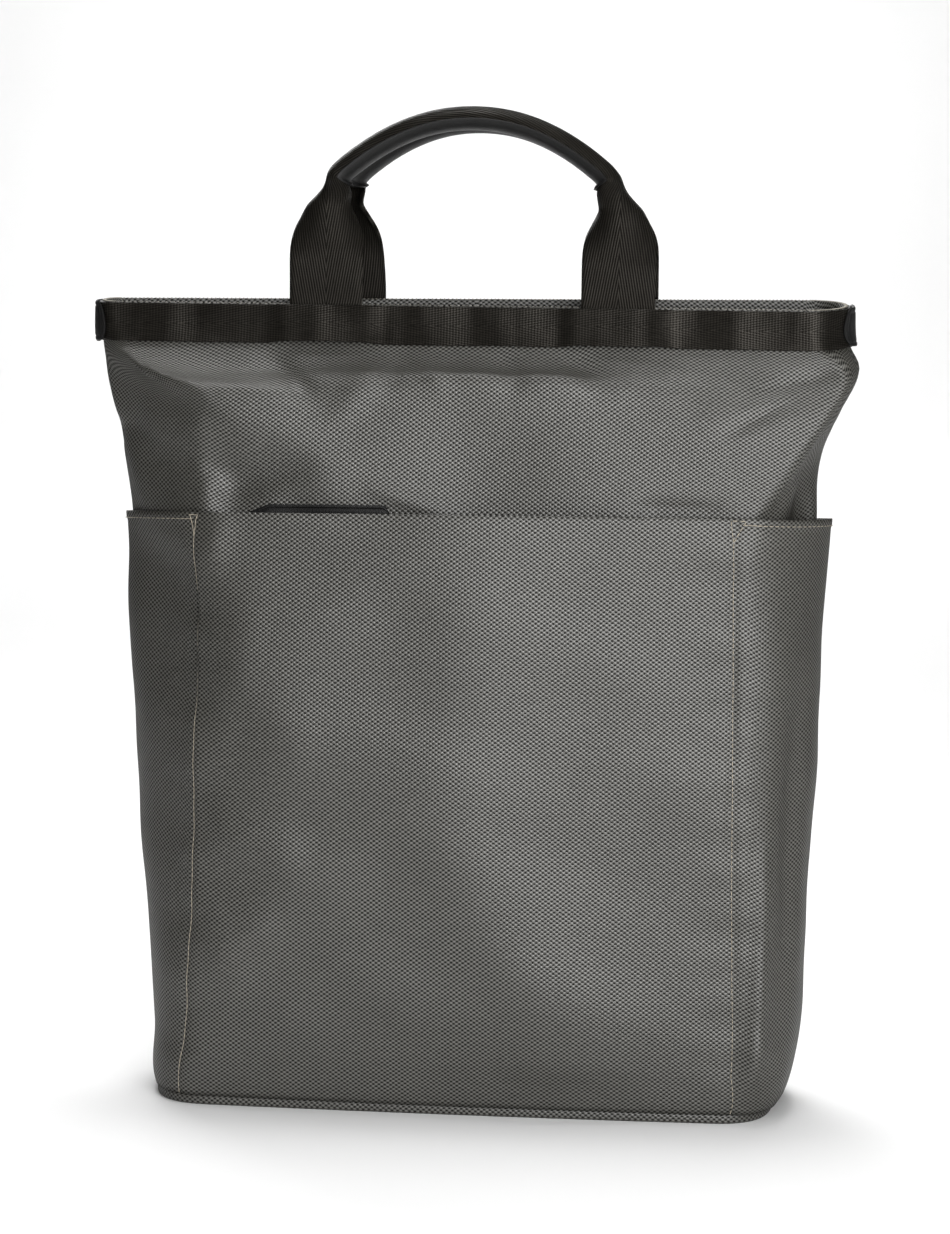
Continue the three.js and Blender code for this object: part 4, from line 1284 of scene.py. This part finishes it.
def build_strap(name, sign):
    """A shoulder strap: a padded strip sewn flat to the back at both ends, bowed out between, with a crown
    across."""
    along = np.linspace(0, 1, STRAP_ROWS)[None, :]
    across = np.linspace(-0.5, 0.5, STRAP_COLUMNS)[:, None]
    z = lerp(STRAP_FOOT_Z, STRAP_TOP_Z, along) + 0 * across
    width = lerp(STRAP_FOOT_WIDTH, STRAP_TOP_WIDTH, smoothstep(along, *STRAP_TAPER))
    middle = sign * lerp(STRAP_FOOT_X, STRAP_TOP_X, smoothstep(along, 0, 1))
    free = smoothstep(along, STRAP_SEWN, 0.5) * (1 - smoothstep(along, 0.5, 1 - STRAP_SEWN))
    turns = turn_across(middle - across * width, z, False)
    crown = STRAP_THICKNESS * (1 - STRAP_CROWN * np.abs(2 * across) ** STRAP_CROWN_POWER)
    points = folded_points(turns, z, STRAP_GAP + free * STRAP_BOW + crown)
    lengths = path_lengths(points[STRAP_COLUMNS // 2])[None, :] + 0 * across
    uv = np.stack([across * width, lengths], axis=-1) * MM
    thickness = STRAP_THICKNESS - STRAP_UNDER
    piece = surface_piece(f"strap_pad_{name}", points, uv, finish_named("strap_webbing"), thickness)
    soften(piece, SOFT_EDGE["strap"])
    settle(piece, "webbing", f"strap_{name}")
    declare_sheet(piece)


def add_light(name, place, target, size, spread, power):
    """A square area light at a place in metres that shines at a target within a spread in degrees."""
    data = bpy.data.lights.new(name, "AREA")
    data.size = size
    data.energy = power
    data.spread = math.radians(spread)
    light = bpy.data.objects.new(name, data)
    light.location = place
    light.rotation_euler = (Vector(target) - Vector(place)).to_track_quat("-Z", "Y").to_euler()
    bpy.context.scene.collection.objects.link(light)


def build_floor():
    """A floor that runs up into a backdrop on a quarter circle: the profile swept sideways."""
    bend = np.linspace(0, math.pi / 2, STAGE_BEND_STEPS)
    profile = np.concatenate([
        [[-STAGE_HALF, 0]],
        np.stack([STAGE_BACK + STAGE_BEND * np.sin(bend), STAGE_BEND * (1 - np.cos(bend))], axis=-1),
        [[STAGE_BACK + STAGE_BEND, STAGE_HALF]],
    ])
    x = np.array([-STAGE_HALF, STAGE_HALF])[:, None]
    points = np.stack(np.broadcast_arrays(x, *profile.T), axis=-1) / MM
    finish, tree, shader = new_finish("studio_paper")
    shade = noise_node(tree, tree.nodes.new("ShaderNodeTexCoord").outputs["Object"], PAPER_NOISE)
    tones = [(place, (tone,) * 3) for place, tone in enumerate(PAPER_TONES)]
    tree.links.new(ramp_node(tree, shade, tones), shader.inputs["Base Color"])
    shader.inputs["Roughness"].default_value = 0.9
    shader.inputs["Specular IOR Level"].default_value = 0.1
    piece = surface_piece("floor", points, cloth_map(points), finish)


def build_camera():
    """The camera on its sphere round the bag, looking a little beside and below the bag's middle, and
    rolled."""
    turn = math.radians(CAMERA_AZIMUTH)
    rise = math.radians(CAMERA_ELEVATION)
    roll = math.radians(CAMERA_ROLL)
    back = Vector((math.sin(turn) * math.cos(rise), -math.cos(turn) * math.cos(rise), math.sin(rise)))
    right = Vector((math.cos(turn), math.sin(turn), 0))
    up = back.cross(right)
    middle = Vector((0, 0, CAMERA_AIM_Z)) * MM
    aim = middle + (right * CAMERA_ASIDE - up * CAMERA_BELOW) * MM
    data = bpy.data.cameras.new("camera")
    data.sensor_fit = "HORIZONTAL"
    data.sensor_width = SENSOR_WIDTH
    data.lens = CAMERA_LENS
    data.clip_end = CAMERA_FAR
    camera = bpy.data.objects.new("camera", data)
    rolled_right = right * math.cos(roll) + up * math.sin(roll)
    rolled_up = up * math.cos(roll) - right * math.sin(roll)
    eye = aim + back * CAMERA_DISTANCE * MM
    axes = Matrix((rolled_right, rolled_up, back)).transposed()
    camera.matrix_world = Matrix.Translation(eye) @ axes.to_4x4()
    bpy.context.scene.collection.objects.link(camera)
    bpy.context.scene.camera = camera


def build_lights():
    """A faint white surround, soft lights on the bag from the front, the right, above and behind, and pools
    of light on the floor and the backdrop."""
    scene = bpy.context.scene
    world = bpy.data.worlds.new("surround")
    world.use_nodes = True
    shade = world.node_tree.nodes["Background"]
    shade.inputs["Color"].default_value = (1, 1, 1, 1)
    shade.inputs["Strength"].default_value = WORLD_STRENGTH
    scene.world = world
    for row in LIGHTS:
        add_light(*row)
    scene.view_settings.view_transform = "Standard"


class BACKPACK_OT_bag(bpy.types.Operator):
    """Build the bag wall and its base"""

    bl_idname = "backpack.bag"
    bl_label = "Bag wall and base"

    def execute(self, context):
        build_body()
        build_base()
        return {"FINISHED"}


class BACKPACK_OT_pocket(bpy.types.Operator):
    """Build the pocket panel, its stitches and the leather patch"""

    bl_idname = "backpack.pocket"
    bl_label = "Pocket and patch"

    def execute(self, context):
        build_pocket()
        for side in ("left", "right"):
            build_seam(side)
        build_patch()
        return {"FINISHED"}


class BACKPACK_OT_rim(bpy.types.Operator):
    """Build the webbing bands round the rim and their end tabs"""

    bl_idname = "backpack.rim"
    bl_label = "Rim bands and tabs"

    def execute(self, context):
        for face in ("front", "back"):
            build_band(face)
        build_edge()
        for side in ("left", "right"):
            build_tab(side)
        return {"FINISHED"}


class BACKPACK_OT_handles(bpy.types.Operator):
    """Build both handles and their leather grips"""

    bl_idname = "backpack.handles"
    bl_label = "Handles and grips"

    def execute(self, context):
        for face in ("front", "back"):
            build_handle(face)
            build_grip(face)
        return {"FINISHED"}


class BACKPACK_OT_straps(bpy.types.Operator):
    """Build the shoulder straps on the back"""

    bl_idname = "backpack.straps"
    bl_label = "Shoulder straps"

    def execute(self, context):
        build_strap("left", -1)
        build_strap("right", 1)
        return {"FINISHED"}


class BACKPACK_OT_stage(bpy.types.Operator):
    """Build the floor, the lights and the camera"""

    bl_idname = "backpack.stage"
    bl_label = "Stage"

    def execute(self, context):
        build_floor()
        build_lights()
        build_camera()
        return {"FINISHED"}


STEPS = (
    BACKPACK_OT_bag,
    BACKPACK_OT_pocket,
    BACKPACK_OT_rim,
    BACKPACK_OT_handles,
    BACKPACK_OT_straps,
    BACKPACK_OT_stage,
)


class BACKPACK_PT_panel(bpy.types.Panel):
    """Sizes, finishes and steps of the backpack"""

    bl_idname = "BACKPACK_PT_panel"
    bl_label = "Tote Backpack"
    bl_space_type = "VIEW_3D"
    bl_region_type = "UI"
    bl_category = "Backpack"

    def draw(self, context):
        for group in (context.scene.backpack_sizes, context.scene.backpack_finishes):
            column = self.layout.column()
            for name in group.__annotations__:
                column.prop(group, name)
        for step in STEPS:
            self.layout.operator(step.bl_idname)


CLASSES = (BackpackSizes, BackpackFinishes, *STEPS, BACKPACK_PT_panel)


def register():
    """Registers the classes and hangs the properties on the scene."""
    for item in CLASSES:
        bpy.utils.register_class(item)
    bpy.types.Scene.backpack_sizes = bpy.props.PointerProperty(type=BackpackSizes)
    bpy.types.Scene.backpack_finishes = bpy.props.PointerProperty(type=BackpackFinishes)


def unregister():
    """Takes the properties off the scene and the classes out again."""
    del bpy.types.Scene.backpack_finishes
    del bpy.types.Scene.backpack_sizes
    for item in reversed(CLASSES):
        bpy.utils.unregister_class(item)


def main():
    """Registers the add-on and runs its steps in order."""
    register()
    bpy.ops.backpack.bag()
    bpy.ops.backpack.pocket()
    bpy.ops.backpack.rim()
    bpy.ops.backpack.handles()
    bpy.ops.backpack.straps()
    bpy.ops.backpack.stage()


if __name__ == "__main__":
    main()
